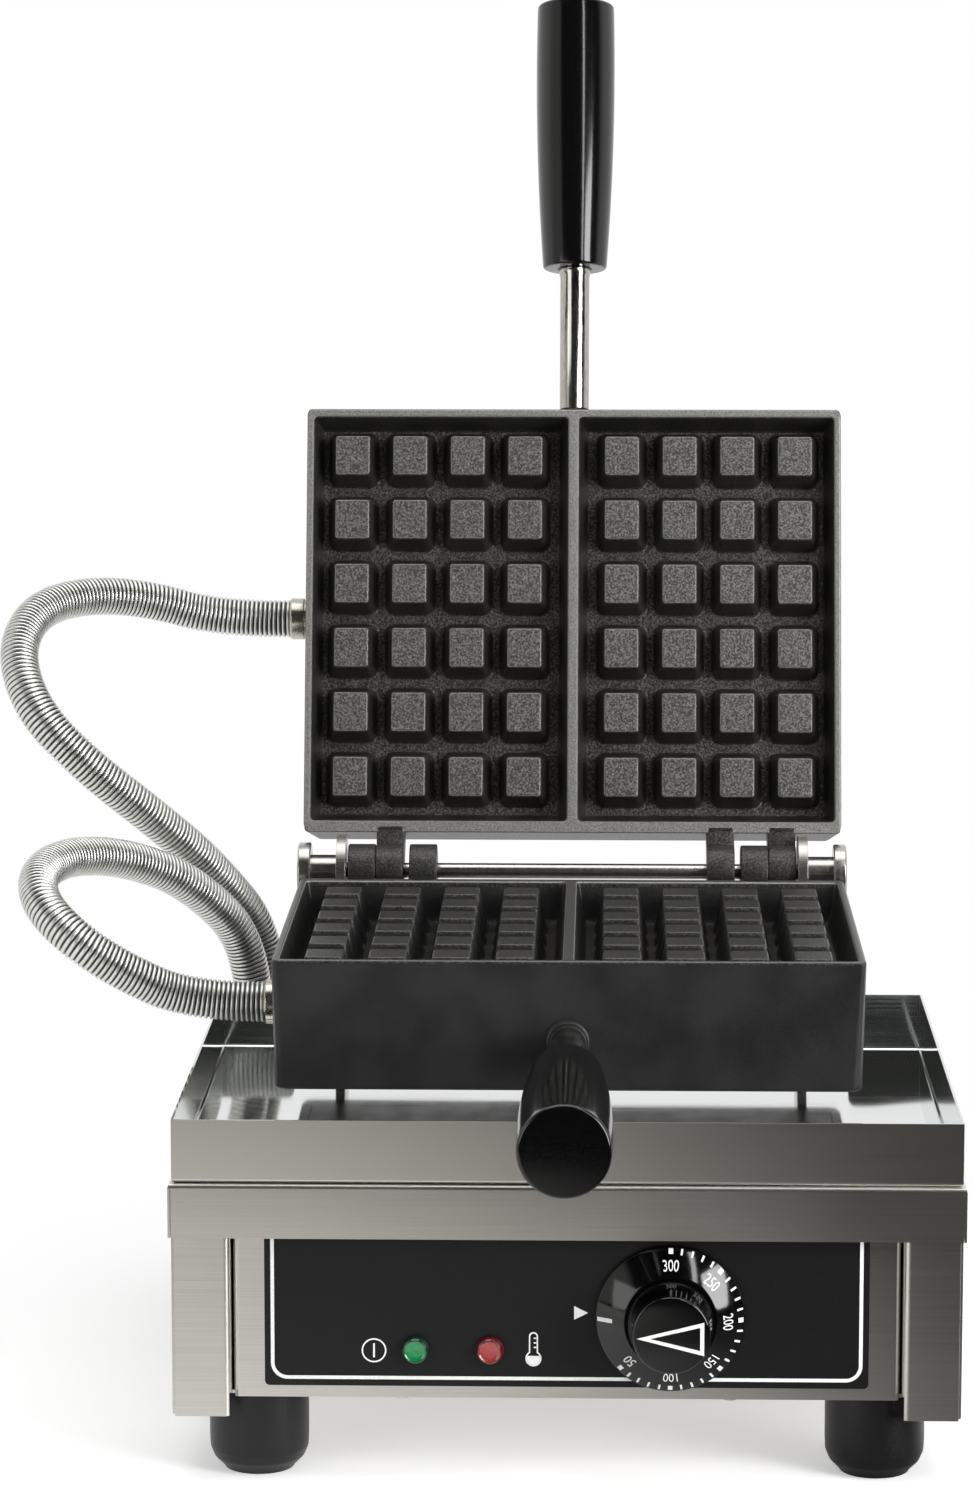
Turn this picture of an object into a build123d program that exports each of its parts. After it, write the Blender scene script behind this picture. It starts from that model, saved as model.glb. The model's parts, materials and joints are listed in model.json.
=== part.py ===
# Liege waffle maker: two hinged cast irons with their own handles, over a drip tray on a steel base.
# Millimetres. +Z is up, +Y points to the back, and X runs along the hinge.
# The origin is on the floor, under the middle of the body.

import math
import os

from build123d import *

os.makedirs("parts", exist_ok=True)

# Sheet metal of the base
sheet = 1.0
bend = 2.0
seam = 0.2
plate_thickness = 1.5
# A cutter through sheet or plate is this many times as long as that is thick.
overcut = 4.0

# Base housing
housing_width = 316.6
housing_depth = 320.0
cover_top_z = 124.0
skirt_height = 22.2
side_bottom_z = 28.0
side_corner_r = 4.0
post_width = 22.7
front_post_depth = 18.0
rear_post_depth = 8.0
post_bend = 3.0
panel_recess = 5.0
panel_gap = 0.4
front_panel_return = 10.0
rear_panel_return = 3.2
lip_depth = 14.0
lip_width = 180.0

# Feet
foot_d = 40.5
foot_height = 36.0
foot_edge_r = 7.0
foot_inset_x = 33.1
foot_inset_y = 27.0
foot_screw_d = 6.0
foot_screw_head_d = 11.0
foot_screw_head_h = 3.0
foot_screw_length = 24.0

# Small screws of the housing
screw_d = 4.0
screw_head_d = 7.6
screw_head_h = 2.0
screw_length = 8.0
screw_x = 66.0
screw_from_face = 8.4

# Pan heads of all screws: edge rounding as a share of the head's height, and the cross recess's
# length and width as shares of the head's and the shank's diameter
head_rounding = 0.45
cross_length = 0.55
cross_width = 0.2

# Control panel
label_width = 242.6
label_bottom_z = 39.9
label_height = 76.0
label_thickness = 0.5
label_corner_r = 2.0
dial_x = 41.7
dial_z = 69.0
lamp_z = 55.0
green_lamp_x = -60.7
red_lamp_x = -30.8
lamp_d = 11.7
lamp_dome_h = 3.4
lamp_edge_r = 2.04
lamp_socket_d = 8.6
lamp_socket_length = 26.0
lamp_neck_d = 7.0

# Dial knob on its thermostat
skirt_d = 60.0
skirt_edge = 1.6
skirt_rise = 9.0
knob_base_d = 35.0
knob_top_d = 31.0
knob_height = 27.5
knob_edge_r = 1.2
dial_gap = 0.8
spindle_d = 6.0
spindle_length = 26.0
spindle_in_knob = 15.0
running_gap = 0.05
bushing_d = 9.5
thermostat_width = 46.0
thermostat_height = 38.0
thermostat_depth = 30.0
thermostat_tab_x = 11.5

# Inside the base
block_width = 60.0
block_depth = 24.0
block_height = 22.0
block_x = 60.0
block_back_gap = 40.0
block_bore_d = 5.0
terminals = 4
terminal_pitch = 15.0
terminal_rows_gap = 12.0
wire_d = 3.0
wire_bend = 12.0
wire_first_run = 36.0
wire_rise = 24.0
capillary_d = 2.0
capillary_beside_dial = 15.3
capillary_below_dial = 9.5
capillary_run = 24.0
earth_stud_d = 5.0
earth_stud_x = 105.0
earth_stud_height = 16.0
earth_nut_d = 10.0
earth_nut_height = 4.0
cable_gland_x = 100.0
cable_gland_z = 62.0
cable_gland_d = 22.0
cable_gland_length = 20.0
cable_gland_nut_height = 8.0
cable_gland_collar_d = 17.6
cable_gland_thread_d = 16.0
cable_gland_thread_length = 10.0
cable_bore_d = 9.0

# Drip tray
tray_width = 316.0
tray_depth = 261.0
tray_height = 25.9
tray_sheet = 1.0
tray_bend = 2.0
cutout_width = 250.0
cutout_corner_r = 3.5
upright_slot = 8.4

# Hinge
hinge_z = 203.7
hinge_setback = 272.4
hinge_gap = 17.5
rim_gap = 0.6
rod_d = 7.0
lug_r = 12.0
lug_width = 12.4
outer_lug_x = 94.8
middle_lug_x = 82.3
inner_lug_x = 67.15
web_drop = 22.0
upright_gap = 0.8
upright_thickness = 4.3
upright_r = 16.3
flange_width = 20.0
flange_thickness = 4.0
flange_front_gap = 1.5
upright_screw_d = 5.0
upright_screw_head_d = 9.0
upright_screw_head_h = 3.0
upright_screw_length = 8.0
axle_end_d = 14.0
axle_end_length = 11.8
rod_in_axle_end = 5.9
collar_d = 25.2
collar_thickness = 5.8
collar_chamfer = 0.6
rest_bar_height = 13.0
rest_bar_drop = 27.7
rest_bar_depth = 6.0
rest_gap = 0.3

# Cast irons
iron_width = 243.7
iron_length = 194.3
iron_depth = 54.4
iron_draft = 1.15
iron_corner_r = 4.6
iron_back_r = 2.0
cavity_corner_r = 2.4
rim_side = 2.9
rim_handle_end = 3.3
rim_hinge_end = 5.1
divider = 4.5
cavity_depth = 18.4
cavity_draft = 4.0
floor_thickness = 7.0
peg_columns = 4
peg_rows = 6
peg_pitch_x = 26.3
peg_pitch_y = 29.5
peg_top_x = 15.6
peg_top_y = 17.8
peg_draft = 3.4
peg_edge = 0.8
peg_recess = 0.6
peg_outward = 0.95
peg_forward = 1.2
chamber_wall = 6.0
chamber_corner_r = 6.0
back_cover_thickness = 1.5
back_cover_gap = 0.3
back_cover_ledge = 1.5
pillar_d = 12.0
pillar_x = 88.0
pillar_y = 70.0
back_screw_d = 5.0
back_screw_head_d = 9.6
back_screw_length = 13.1
back_screw_hole_depth = 17.4

# Heating element, insulation and sensor in each iron
heater_d = 8.5
heater_pitch = 34.0
heater_legs = 6
heater_leg_length = 112.0
# Two bends in a row are kept this far apart, so that each is an arc of its own.
heater_bend_gap = 0.02
insulation_margin = 4.0
insulation_notch_width = 23.2
insulation_notch_depth = 18.0
bulb_d = 6.0
bulb_edge_r = 1.5
bulb_length = 75.0
bulb_x = 102.0

# Handles
open_angle = 104.32
handle_drop = 33.6
boss_d = 15.5
boss_length = 5.0
handle_rod_d = 13.6
handle_rod_visible = 72.0
handle_rod_in_iron = 12.0
handle_rod_in_grip = 60.0
handle_thread_d = 10.0
grip_length = 124.8
grip_outer_d = 35.7
grip_widest_d = 36.5
grip_inner_d = 29.5
grip_widest_at = 26.0
grip_edge_r = 1.6

# Armoured hoses to the irons
hose_d = 17.3
hose_root_d = 15.4
hose_bore_d = 11.6
ferrule_d = 19.0
ferrule_length = 9.0
ferrule_chamfer = 0.6
nipple_d = 12.0
nipple_bore_d = 9.0
hose_fitting_reach = 119.5
hose_fitting_drop = 36.0
gland_d = 22.0
gland_height = 12.0
gland_thread_d = 15.6
gland_nut_d = 22.0
gland_nut_height = 5.0
upper_gland_x = -139.5
lower_gland_x = -145.0
upper_gland_behind_hinge = 29.6
lower_gland_behind_hinge = 6.6
upper_hose_ribs = 180
lower_hose_ribs = 150
# Within one rib, as shares of its pitch: where the groove ends, the crest begins and the crest ends
rib_groove = 0.12
rib_crest = 0.3
rib_crest_end = 0.82
# Each bend of a hose is an arc that takes this share of the shorter run beside it.
arc_share = 0.45

# Places that follow from the sizes above
lean = math.radians(open_angle - 90)
front_reach = hinge_gap + iron_length + handle_rod_visible + grip_length
grip_out = rim_gap + handle_drop + grip_outer_d / 2 - grip_edge_r
rear_reach = (front_reach - grip_edge_r) * math.sin(lean) + grip_out * math.cos(lean) + grip_edge_r
hinge_y = (front_reach - rear_reach) / 2
front_y = hinge_y - hinge_setback
rear_y = front_y + housing_depth
mid_y = (front_y + rear_y) / 2
housing_top_z = cover_top_z - sheet
skirt_bottom_z = cover_top_z - skirt_height
side_x = housing_width / 2
post_x = side_x - sheet - post_width
panel_y = front_y + panel_recess
panel_x = post_x - panel_gap
panel_bottom_z = foot_height - sheet
plate_top_z = foot_height + plate_thickness
foot_x = side_x - foot_inset_x
foot_front_y = front_y + foot_inset_y
foot_rear_y = rear_y - foot_inset_y
screw_y = panel_y + screw_from_face
label_y = panel_y - label_thickness
upright_x = outer_lug_x + lug_width / 2 + upright_gap
tray_rear_y = front_y + tray_depth
rim_z = hinge_z - rim_gap
back_z = rim_z - iron_depth
iron_rear_y = hinge_y - hinge_gap
iron_front_y = iron_rear_y - iron_length
iron_mid_y = (iron_front_y + iron_rear_y) / 2
cavity_floor_z = rim_z - cavity_depth
chamber_top_z = cavity_floor_z - floor_thickness
cavity_front_y = iron_front_y + rim_handle_end
cavity_rear_y = iron_rear_y - rim_hinge_end
cavity_mid_y = (cavity_front_y + cavity_rear_y) / 2
cavity_length = cavity_rear_y - cavity_front_y
cavity_width = (iron_width - divider) / 2 - rim_side
cavity_x = divider / 2 + cavity_width / 2
peg_base_x = peg_top_x + 2 * peg_draft
peg_base_y = peg_top_y + 2 * peg_draft
handle_z = rim_z - handle_drop
lower_lugs_x = (-outer_lug_x, -inner_lug_x, middle_lug_x)


def facing(x, y, z, towards_y):
    """A plane at a point, facing the front (-1) or the back (1), with its X along the object's X."""
    return Plane((x, y, z), x_dir=(1, 0, 0), z_dir=(0, towards_y, 0))


def save(part, name):
    """Labels a finished piece and writes it."""
    part.label = name
    export_step(part, f"parts/{name}.step")
    return part


# The casting is made as the lower iron, face up. The upper iron is the same casting turned over
# about the hinge and swung open.
hinge_centre = Location((0, hinge_y, hinge_z))
turned_open = hinge_centre * Rotation(-open_angle, 0, 0) * Rotation(0, 180, 0) * hinge_centre.inverse()


def opened(part):
    """The same piece on the open upper iron."""
    return turned_open * part


def opened_point(x, y, z):
    """A point of the lower iron, turned over and swung open with the upper iron."""
    at = (turned_open * Location((x, y, z))).position
    return at.X, at.Y, at.Z


# Housing: side panels and the folded corner posts
with BuildPart() as side_panel_left:
    with BuildSketch(Plane((-side_x, 0, 0), x_dir=(0, 1, 0), z_dir=(1, 0, 0))) as side_profile:
        with Locations((mid_y, (side_bottom_z + housing_top_z) / 2)):
            Rectangle(housing_depth, housing_top_z - side_bottom_z)
        fillet(side_profile.vertices().group_by(Axis.Z)[0], side_corner_r)
    extrude(amount=sheet)
save(side_panel_left.part, "side_panel_left")

with BuildPart() as side_panel_right:
    mirror(side_panel_left.part, about=Plane.YZ)
save(side_panel_right.part, "side_panel_right")


def corner_post(y_edge, inward, post_depth):
    """A folded post behind a corner of the housing: web outside, two flanges pointing inward."""
    centre_x = -(post_x + post_width / 2)
    with BuildPart() as post:
        with BuildSketch(Plane((centre_x, y_edge, side_bottom_z))) as profile:
            with Locations((0, inward * post_depth / 2)):
                Rectangle(post_width, post_depth)
            web = profile.vertices().group_by(Axis.Y)[0 if inward > 0 else -1]
            fillet(web.sort_by(Axis.X)[-1], post_bend)
            fillet(web.sort_by(Axis.X)[0], sheet)
            with Locations((0, inward * (sheet + post_depth / 2))):
                Rectangle(post_width - 2 * sheet, post_depth, mode=Mode.SUBTRACT)
        extrude(amount=housing_top_z - side_bottom_z)
        with Locations((centre_x, y_edge + inward * (sheet + post_depth / 2), side_bottom_z)):
            flange_cut = foot_height + plate_thickness - side_bottom_z
            Box(
                post_width + 2 * sheet,
                post_depth,
                flange_cut,
                align=(Align.CENTER, Align.CENTER, Align.MIN),
                mode=Mode.SUBTRACT,
            )
    return post.part


front_post_left = save(corner_post(front_y, 1, front_post_depth), "front_post_left")
rear_post_left = save(corner_post(rear_y, -1, rear_post_depth), "rear_post_left")
save(mirror(front_post_left, about=Plane.YZ), "front_post_right")
save(mirror(rear_post_left, about=Plane.YZ), "rear_post_right")


def end_panel(y_face, inward, panel_return, name, holes):
    """A panel between two posts, with folded-back sides and a lip under the base plate."""
    height = housing_top_z - panel_bottom_z
    with BuildPart() as panel:
        with BuildSketch(Plane((0, y_face, panel_bottom_z))) as profile:
            with Locations((0, inward * panel_return / 2)):
                Rectangle(2 * panel_x, panel_return)
            fillet(profile.vertices().group_by(Axis.Y)[0 if inward > 0 else -1], post_bend)
            with Locations((0, inward * (sheet + panel_return / 2))):
                Rectangle(2 * (panel_x - sheet), panel_return, mode=Mode.SUBTRACT)
        extrude(amount=height)
        with Locations((0, y_face + inward * (sheet + panel_return / 2), panel_bottom_z)):
            Box(
                2 * panel_x,
                panel_return,
                sheet + plate_thickness,
                align=(Align.CENTER, Align.CENTER, Align.MIN),
                mode=Mode.SUBTRACT,
            )
        with Locations((0, y_face + inward * (sheet + lip_depth / 2), panel_bottom_z)):
            Box(lip_width, lip_depth, sheet, align=(Align.CENTER, Align.CENTER, Align.MIN))
        with Locations([(x, y_face + inward * screw_from_face, panel_bottom_z) for x in (-screw_x, screw_x)]):
            Cylinder(screw_d / 2, overcut * sheet, mode=Mode.SUBTRACT)
        for hole_x, hole_z, hole_d in holes:
            with Locations(Plane((hole_x, y_face, hole_z), z_dir=(0, 1, 0)).location):
                Cylinder(hole_d / 2, overcut * sheet, mode=Mode.SUBTRACT)
    save(panel.part, name)


lamp_hole_d = lamp_socket_d + 2 * seam
front_holes = (
    (dial_x, dial_z, bushing_d + 2 * seam),
    (green_lamp_x, lamp_z, lamp_hole_d),
    (red_lamp_x, lamp_z, lamp_hole_d),
)
end_panel(panel_y, 1, front_panel_return, "front_panel", front_holes)
rear_face_y = rear_y - panel_recess
rear_holes = ((cable_gland_x, cable_gland_z, cable_gland_thread_d),)
end_panel(rear_face_y, -1, rear_panel_return, "rear_panel", rear_holes)

with BuildPart() as front_label:
    with BuildSketch(facing(0, label_y, label_bottom_z + label_height / 2, -1)):
        RectangleRounded(label_width, label_height, label_corner_r)
    extrude(amount=-label_thickness)
    for hole_x, hole_z, hole_d in front_holes:
        with Locations(Plane((hole_x, label_y, hole_z), z_dir=(0, 1, 0)).location):
            Cylinder(hole_d / 2, overcut * sheet, mode=Mode.SUBTRACT)
save(front_label.part, "front_label")

# Base plate with holes for the feet and the small screws
plate_depth = housing_depth - 2 * (panel_recess + sheet)
foot_places = [(x, y) for x in (-foot_x, foot_x) for y in (foot_front_y, foot_rear_y)]
lip_places = [(x, y) for x in (-screw_x, screw_x) for y in (screw_y, front_y + rear_y - screw_y)]
block_y = rear_y - block_back_gap
with BuildPart() as base_plate:
    with BuildSketch(Plane((0, mid_y, foot_height))):
        Rectangle(housing_width - 2 * sheet, plate_depth)
    extrude(amount=plate_thickness)
    with Locations([(x, y, foot_height) for x, y in foot_places]):
        Cylinder(foot_screw_d / 2, overcut * plate_thickness, mode=Mode.SUBTRACT)
    with Locations([(x, y, foot_height) for x, y in lip_places]):
        Cylinder(screw_d / 2, overcut * plate_thickness, mode=Mode.SUBTRACT)
    with Locations((earth_stud_x, block_y, foot_height)):
        Cylinder(earth_stud_d / 2, overcut * plate_thickness, mode=Mode.SUBTRACT)
save(base_plate.part, "base_plate")

# Cover with its skirt, open corner seams, gland holes and upright screw holes
flange_x = upright_x + upright_thickness + flange_width / 2
flange_front_y = tray_rear_y + flange_front_gap
flange_rear_y = hinge_y + upright_r
flange_mid_y = (flange_front_y + flange_rear_y) / 2
upright_screw_pitch = (flange_rear_y - flange_front_y) / 2
upright_screw_places = [
    (side * flange_x, flange_mid_y + end * upright_screw_pitch / 2) for side in (-1, 1) for end in (-1, 1)
]
gland_places = (
    (upper_gland_x, hinge_y + upper_gland_behind_hinge),
    (lower_gland_x, hinge_y + lower_gland_behind_hinge),
)
cover_width = housing_width + 2 * (seam + sheet)
cover_depth = housing_depth + 2 * (seam + sheet)
with BuildPart() as top_cover:
    with BuildSketch(Plane((0, mid_y, skirt_bottom_z))):
        Rectangle(cover_width, cover_depth)
    extrude(amount=skirt_height)
    fillet(top_cover.faces().sort_by(Axis.Z)[-1].edges(), bend)
    with BuildSketch(Plane((0, mid_y, skirt_bottom_z))):
        Rectangle(cover_width - 2 * sheet, cover_depth - 2 * sheet)
    extrude(amount=skirt_height - sheet, mode=Mode.SUBTRACT)
    for side in (-1, 1):
        for end_y in (mid_y - cover_depth / 2 + sheet / 2, mid_y + cover_depth / 2 - sheet / 2):
            with Locations((side * (cover_width / 2 - sheet - seam / 2), end_y, skirt_bottom_z)):
                Box(
                    seam,
                    2 * sheet,
                    skirt_height - bend,
                    align=(Align.CENTER, Align.CENTER, Align.MIN),
                    mode=Mode.SUBTRACT,
                )
    with Locations([(x, y, cover_top_z) for x, y in upright_screw_places]):
        Cylinder(upright_screw_d / 2, overcut * sheet, mode=Mode.SUBTRACT)
    with Locations([(x, y, cover_top_z) for x, y in gland_places]):
        Cylinder(gland_thread_d / 2, overcut * sheet, mode=Mode.SUBTRACT)
save(top_cover.part, "top_cover")

# Feet and the screws that hold them
foot_names = ("foot_front_left", "foot_rear_left", "foot_front_right", "foot_rear_right")
for name, (x, y) in zip(foot_names, foot_places):
    with BuildPart() as foot:
        with Locations((x, y, 0)):
            Cylinder(foot_d / 2, foot_height, align=(Align.CENTER, Align.CENTER, Align.MIN))
            fillet(foot.faces().sort_by(Axis.Z)[0].edges(), foot_edge_r)
            with Locations((0, 0, foot_height)):
                Hole(foot_screw_d / 2, depth=foot_screw_length - plate_thickness)
    save(foot.part, name)


def screw(head_d, head_h, shank_d, length):
    """A pan-head screw along -Z from the underside of its head, which is at the origin."""
    with BuildPart() as one:
        Cylinder(head_d / 2, head_h, align=(Align.CENTER, Align.CENTER, Align.MIN))
        fillet(one.faces().sort_by(Axis.Z)[-1].edges(), head_h * head_rounding)
        with Locations((0, 0, head_h)):
            Box(head_d * cross_length, shank_d * cross_width, head_h, mode=Mode.SUBTRACT)
            Box(shank_d * cross_width, head_d * cross_length, head_h, mode=Mode.SUBTRACT)
        Cylinder(shank_d / 2, length, align=(Align.CENTER, Align.CENTER, Align.MAX))
    return one.part


def screw_group(name, places, head_d, head_h, shank_d, length):
    """Identical screws in one node, one separate solid at each place."""
    one = screw(head_d, head_h, shank_d, length)
    return save(Compound(children=[place * one for place in places]), name)


screw_group(
    "foot_screws",
    [Location((x, y, plate_top_z)) for x, y in foot_places],
    foot_screw_head_d,
    foot_screw_head_h,
    foot_screw_d,
    foot_screw_length,
)
screw_group(
    "base_screws",
    [Location((x, y, panel_bottom_z)) * Rotation(180, 0, 0) for x, y in lip_places],
    screw_head_d,
    screw_head_h,
    screw_d,
    screw_length,
)

# Control panel: lamps, thermostat with its spindle, and the dial knob
for name, lamp_x in (("green_lamp", green_lamp_x), ("red_lamp", red_lamp_x)):
    with BuildPart() as lens:
        with BuildSketch(facing(lamp_x, label_y, lamp_z, -1)):
            Circle(lamp_d / 2)
        extrude(amount=lamp_dome_h)
        fillet(lens.faces().sort_by(Axis.Y)[0].edges(), lamp_edge_r)
    save(lens.part, name + "_lens")
    with BuildPart() as socket:
        with BuildSketch(facing(lamp_x, label_y, lamp_z, -1)):
            Circle(lamp_socket_d / 2)
        extrude(amount=-lamp_socket_length)
        with BuildSketch(Plane((lamp_x, label_y + lamp_socket_length, lamp_z), z_dir=(0, 1, 0))):
            Circle(lamp_neck_d / 2)
        extrude(amount=lamp_neck_d)
    save(socket.part, name + "_socket")

panel_back_y = panel_y + sheet
spindle_bore_d = spindle_d + 2 * running_gap
with BuildPart() as thermostat_body:
    with Locations((dial_x, panel_back_y + thermostat_depth / 2, dial_z)):
        Box(thermostat_width, thermostat_depth, thermostat_height)
    fillet(thermostat_body.edges().filter_by(Axis.Y), bend)
    with BuildSketch(facing(dial_x, panel_back_y, dial_z, -1)):
        Circle(bushing_d / 2)
    extrude(amount=panel_back_y - label_y)
    with BuildSketch(facing(dial_x, label_y, dial_z, 1)):
        Circle(spindle_bore_d / 2)
    extrude(amount=spindle_length, mode=Mode.SUBTRACT)
save(thermostat_body.part, "thermostat_body")

spindle_front_y = label_y - dial_gap - spindle_in_knob
with BuildPart() as dial_spindle:
    with BuildSketch(facing(dial_x, spindle_front_y, dial_z, 1)):
        Circle(spindle_d / 2)
    extrude(amount=spindle_in_knob + spindle_length - 2 * dial_gap)
save(dial_spindle.part, "dial_spindle")

with BuildPart() as dial_knob:
    with BuildSketch(Plane((dial_x, 0, dial_z), x_dir=(1, 0, 0), z_dir=(0, 0, 1))):
        back = label_y - dial_gap
        with BuildLine():
            Polyline(
                (0, back),
                (skirt_d / 2, back),
                (skirt_d / 2, back - skirt_edge),
                (knob_base_d / 2, back - skirt_rise),
                (knob_top_d / 2, back - knob_height),
                (0, back - knob_height),
                close=True,
            )
        make_face()
    revolve(axis=Axis((dial_x, 0, dial_z), (0, 1, 0)))
    fillet(dial_knob.faces().sort_by(Axis.Y)[0].edges(), knob_edge_r)
    with BuildSketch(facing(dial_x, back, dial_z, -1)):
        Circle(spindle_d / 2)
    extrude(amount=spindle_in_knob, mode=Mode.SUBTRACT)
save(dial_knob.part, "dial_knob")

# Inside the base: terminal block, earth stud, cable gland, wires and the sensor's capillary
with BuildPart() as terminal_block:
    with Locations((block_x, block_y, plate_top_z)):
        Box(block_width, block_depth, block_height, align=(Align.CENTER, Align.CENTER, Align.MIN))
    with Locations((block_x, block_y, plate_top_z + block_height)):
        with GridLocations(terminal_pitch, terminal_rows_gap, terminals, 2):
            Cylinder(block_bore_d / 2, block_height, mode=Mode.SUBTRACT)
save(terminal_block.part, "terminal_block")

with BuildPart() as earth_stud:
    with Locations((earth_stud_x, block_y, foot_height)):
        Cylinder(earth_stud_d / 2, earth_stud_height, align=(Align.CENTER, Align.CENTER, Align.MIN))
    with BuildSketch(Plane((earth_stud_x, block_y, plate_top_z))):
        RegularPolygon(earth_nut_d / 2, 6)
    extrude(amount=earth_nut_height)
save(earth_stud.part, "earth_stud")

cable_gland_seat = Plane((cable_gland_x, rear_face_y, cable_gland_z), x_dir=(-1, 0, 0), z_dir=(0, 1, 0))
with BuildPart() as cable_gland:
    with BuildSketch(cable_gland_seat):
        RegularPolygon(cable_gland_d / 2, 6)
    extrude(amount=cable_gland_nut_height)
    with BuildSketch(cable_gland_seat):
        Circle(cable_gland_collar_d / 2)
    extrude(amount=cable_gland_length)
    with BuildSketch(facing(cable_gland_x, rear_face_y, cable_gland_z, -1)):
        Circle(cable_gland_thread_d / 2)
    extrude(amount=cable_gland_thread_length)
    with BuildSketch(facing(cable_gland_x, rear_face_y + cable_gland_length, cable_gland_z, -1)):
        Circle(cable_bore_d / 2)
    extrude(amount=2 * cable_gland_length, mode=Mode.SUBTRACT)
save(cable_gland.part, "cable_gland")

gland_under_z = housing_top_z - gland_nut_height
thermostat_back_y = panel_back_y + thermostat_depth
block_top_z = plate_top_z + block_height


def tube(points, radius, diameter):
    """A bent tube or wire along rounded corners."""
    with BuildPart() as bent:
        with BuildLine() as path:
            FilletPolyline(*points, radius=radius)
        with BuildSketch(Plane(path.line @ 0, z_dir=path.line % 0)):
            Circle(diameter / 2)
        sweep()
    return bent.part


wire_rise_z = block_top_z + wire_rise
first_terminal_x = block_x - (terminals - 1) / 2 * terminal_pitch
front_terminal_y = block_y - terminal_rows_gap / 2
wires = []
for k, wire_x in enumerate((dial_x - thermostat_tab_x, dial_x + thermostat_tab_x)):
    terminal_x = first_terminal_x + k * terminal_pitch
    wires.append(
        tube(
            (
                (wire_x, thermostat_back_y, dial_z),
                (wire_x, thermostat_back_y + wire_first_run, dial_z),
                (terminal_x, front_terminal_y, wire_rise_z + k * 2 * wire_d),
                (terminal_x, front_terminal_y, block_top_z - block_height / 2),
            ),
            wire_bend,
            wire_d,
        )
    )
save(Compound(children=wires), "thermostat_wires")

capillary_start_x = dial_x - capillary_beside_dial
capillary_z = dial_z - capillary_below_dial
capillary_gland_x, capillary_gland_y = gland_places[1]
capillary = tube(
    (
        (capillary_start_x, thermostat_back_y, capillary_z),
        (capillary_start_x, thermostat_back_y + capillary_run, capillary_z),
        (capillary_gland_x, thermostat_back_y + 2 * capillary_run, capillary_z),
        (capillary_gland_x, capillary_gland_y, capillary_z),
        (capillary_gland_x, capillary_gland_y, gland_under_z),
    ),
    wire_bend,
    capillary_d,
)
save(capillary, "sensor_capillary")

# Drip tray: bent sheet with a wide cutout at the back and slots for the hinge uprights
tray_rim_z = cover_top_z + tray_height
with BuildPart() as drip_tray:
    with BuildSketch(Plane((0, front_y + tray_depth / 2, cover_top_z))):
        Rectangle(tray_width, tray_depth)
    extrude(amount=tray_height)
    fillet(drip_tray.faces().sort_by(Axis.Z)[0].edges(), tray_bend)
    with BuildSketch(Plane((0, front_y + tray_depth / 2, cover_top_z + tray_sheet))):
        Rectangle(tray_width - 2 * tray_sheet, tray_depth - 2 * tray_sheet)
    extrude(amount=tray_height, mode=Mode.SUBTRACT)
    inner_floor = drip_tray.faces().filter_by(Plane.XY).group_by(Axis.Z)[1]
    fillet(inner_floor.edges(), tray_bend - tray_sheet)
    cutout_bottom_z = cover_top_z + tray_bend
    cutout_plane = Plane((0, tray_rear_y + tray_bend, cutout_bottom_z), x_dir=(-1, 0, 0), z_dir=(0, 1, 0))
    with BuildSketch(cutout_plane):
        with BuildLine():
            half = cutout_width / 2
            top = tray_rim_z - cutout_bottom_z
            corner = cutout_corner_r
            Line((-half, 0), (half, 0))
            Line((half, 0), (half, top - corner))
            RadiusArc((half, top - corner), (half + corner, top), corner)
            above = top + tray_sheet
            Polyline((half + corner, top), (half + corner, above), (-half - corner, above))
            Line((-half - corner, above), (-half - corner, top))
            RadiusArc((-half - corner, top), (-half, top - corner), corner)
            Line((-half, top - corner), (-half, 0))
        make_face()
    extrude(amount=-2 * tray_bend, mode=Mode.SUBTRACT)
    slot_front_y = hinge_y - upright_r - 2 * tray_bend
    with BuildSketch(Plane((0, 0, cover_top_z))):
        for side in (-1, 1):
            slot_x = side * (upright_x + upright_thickness / 2)
            with Locations((slot_x, (slot_front_y + tray_rear_y + tray_bend) / 2)):
                Rectangle(upright_slot, tray_rear_y + tray_bend - slot_front_y)
    extrude(amount=2 * tray_bend, mode=Mode.SUBTRACT)
save(drip_tray.part, "drip_tray")

# Hinge uprights, their screws, the rest bar, the rod and the turned axle ends
with BuildPart() as upright_left:
    with BuildSketch(Plane((-upright_x, 0, 0), x_dir=(0, 1, 0), z_dir=(1, 0, 0))):
        with Locations((hinge_y, hinge_z)):
            Circle(upright_r)
        with Locations((hinge_y, (hinge_z + cover_top_z) / 2)):
            Rectangle(2 * upright_r, hinge_z - cover_top_z)
    extrude(amount=-upright_thickness)
    with Locations((-flange_x, flange_mid_y, cover_top_z)):
        Box(
            flange_width,
            flange_rear_y - flange_front_y,
            flange_thickness,
            align=(Align.CENTER, Align.CENTER, Align.MIN),
        )
    with Locations([(x, y, cover_top_z) for x, y in upright_screw_places]):
        Cylinder(upright_screw_d / 2, overcut * flange_thickness, mode=Mode.SUBTRACT)
    with Locations(Plane((-upright_x, hinge_y, hinge_z), z_dir=(1, 0, 0)).location):
        Cylinder(rod_d / 2, overcut * upright_thickness, mode=Mode.SUBTRACT)
save(upright_left.part, "upright_left")

with BuildPart() as upright_right:
    mirror(upright_left.part, about=Plane.YZ)
save(upright_right.part, "upright_right")

screw_group(
    "upright_screws",
    [Location((x, y, cover_top_z + flange_thickness)) for x, y in upright_screw_places],
    upright_screw_head_d,
    upright_screw_head_h,
    upright_screw_d,
    upright_screw_length,
)

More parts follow.
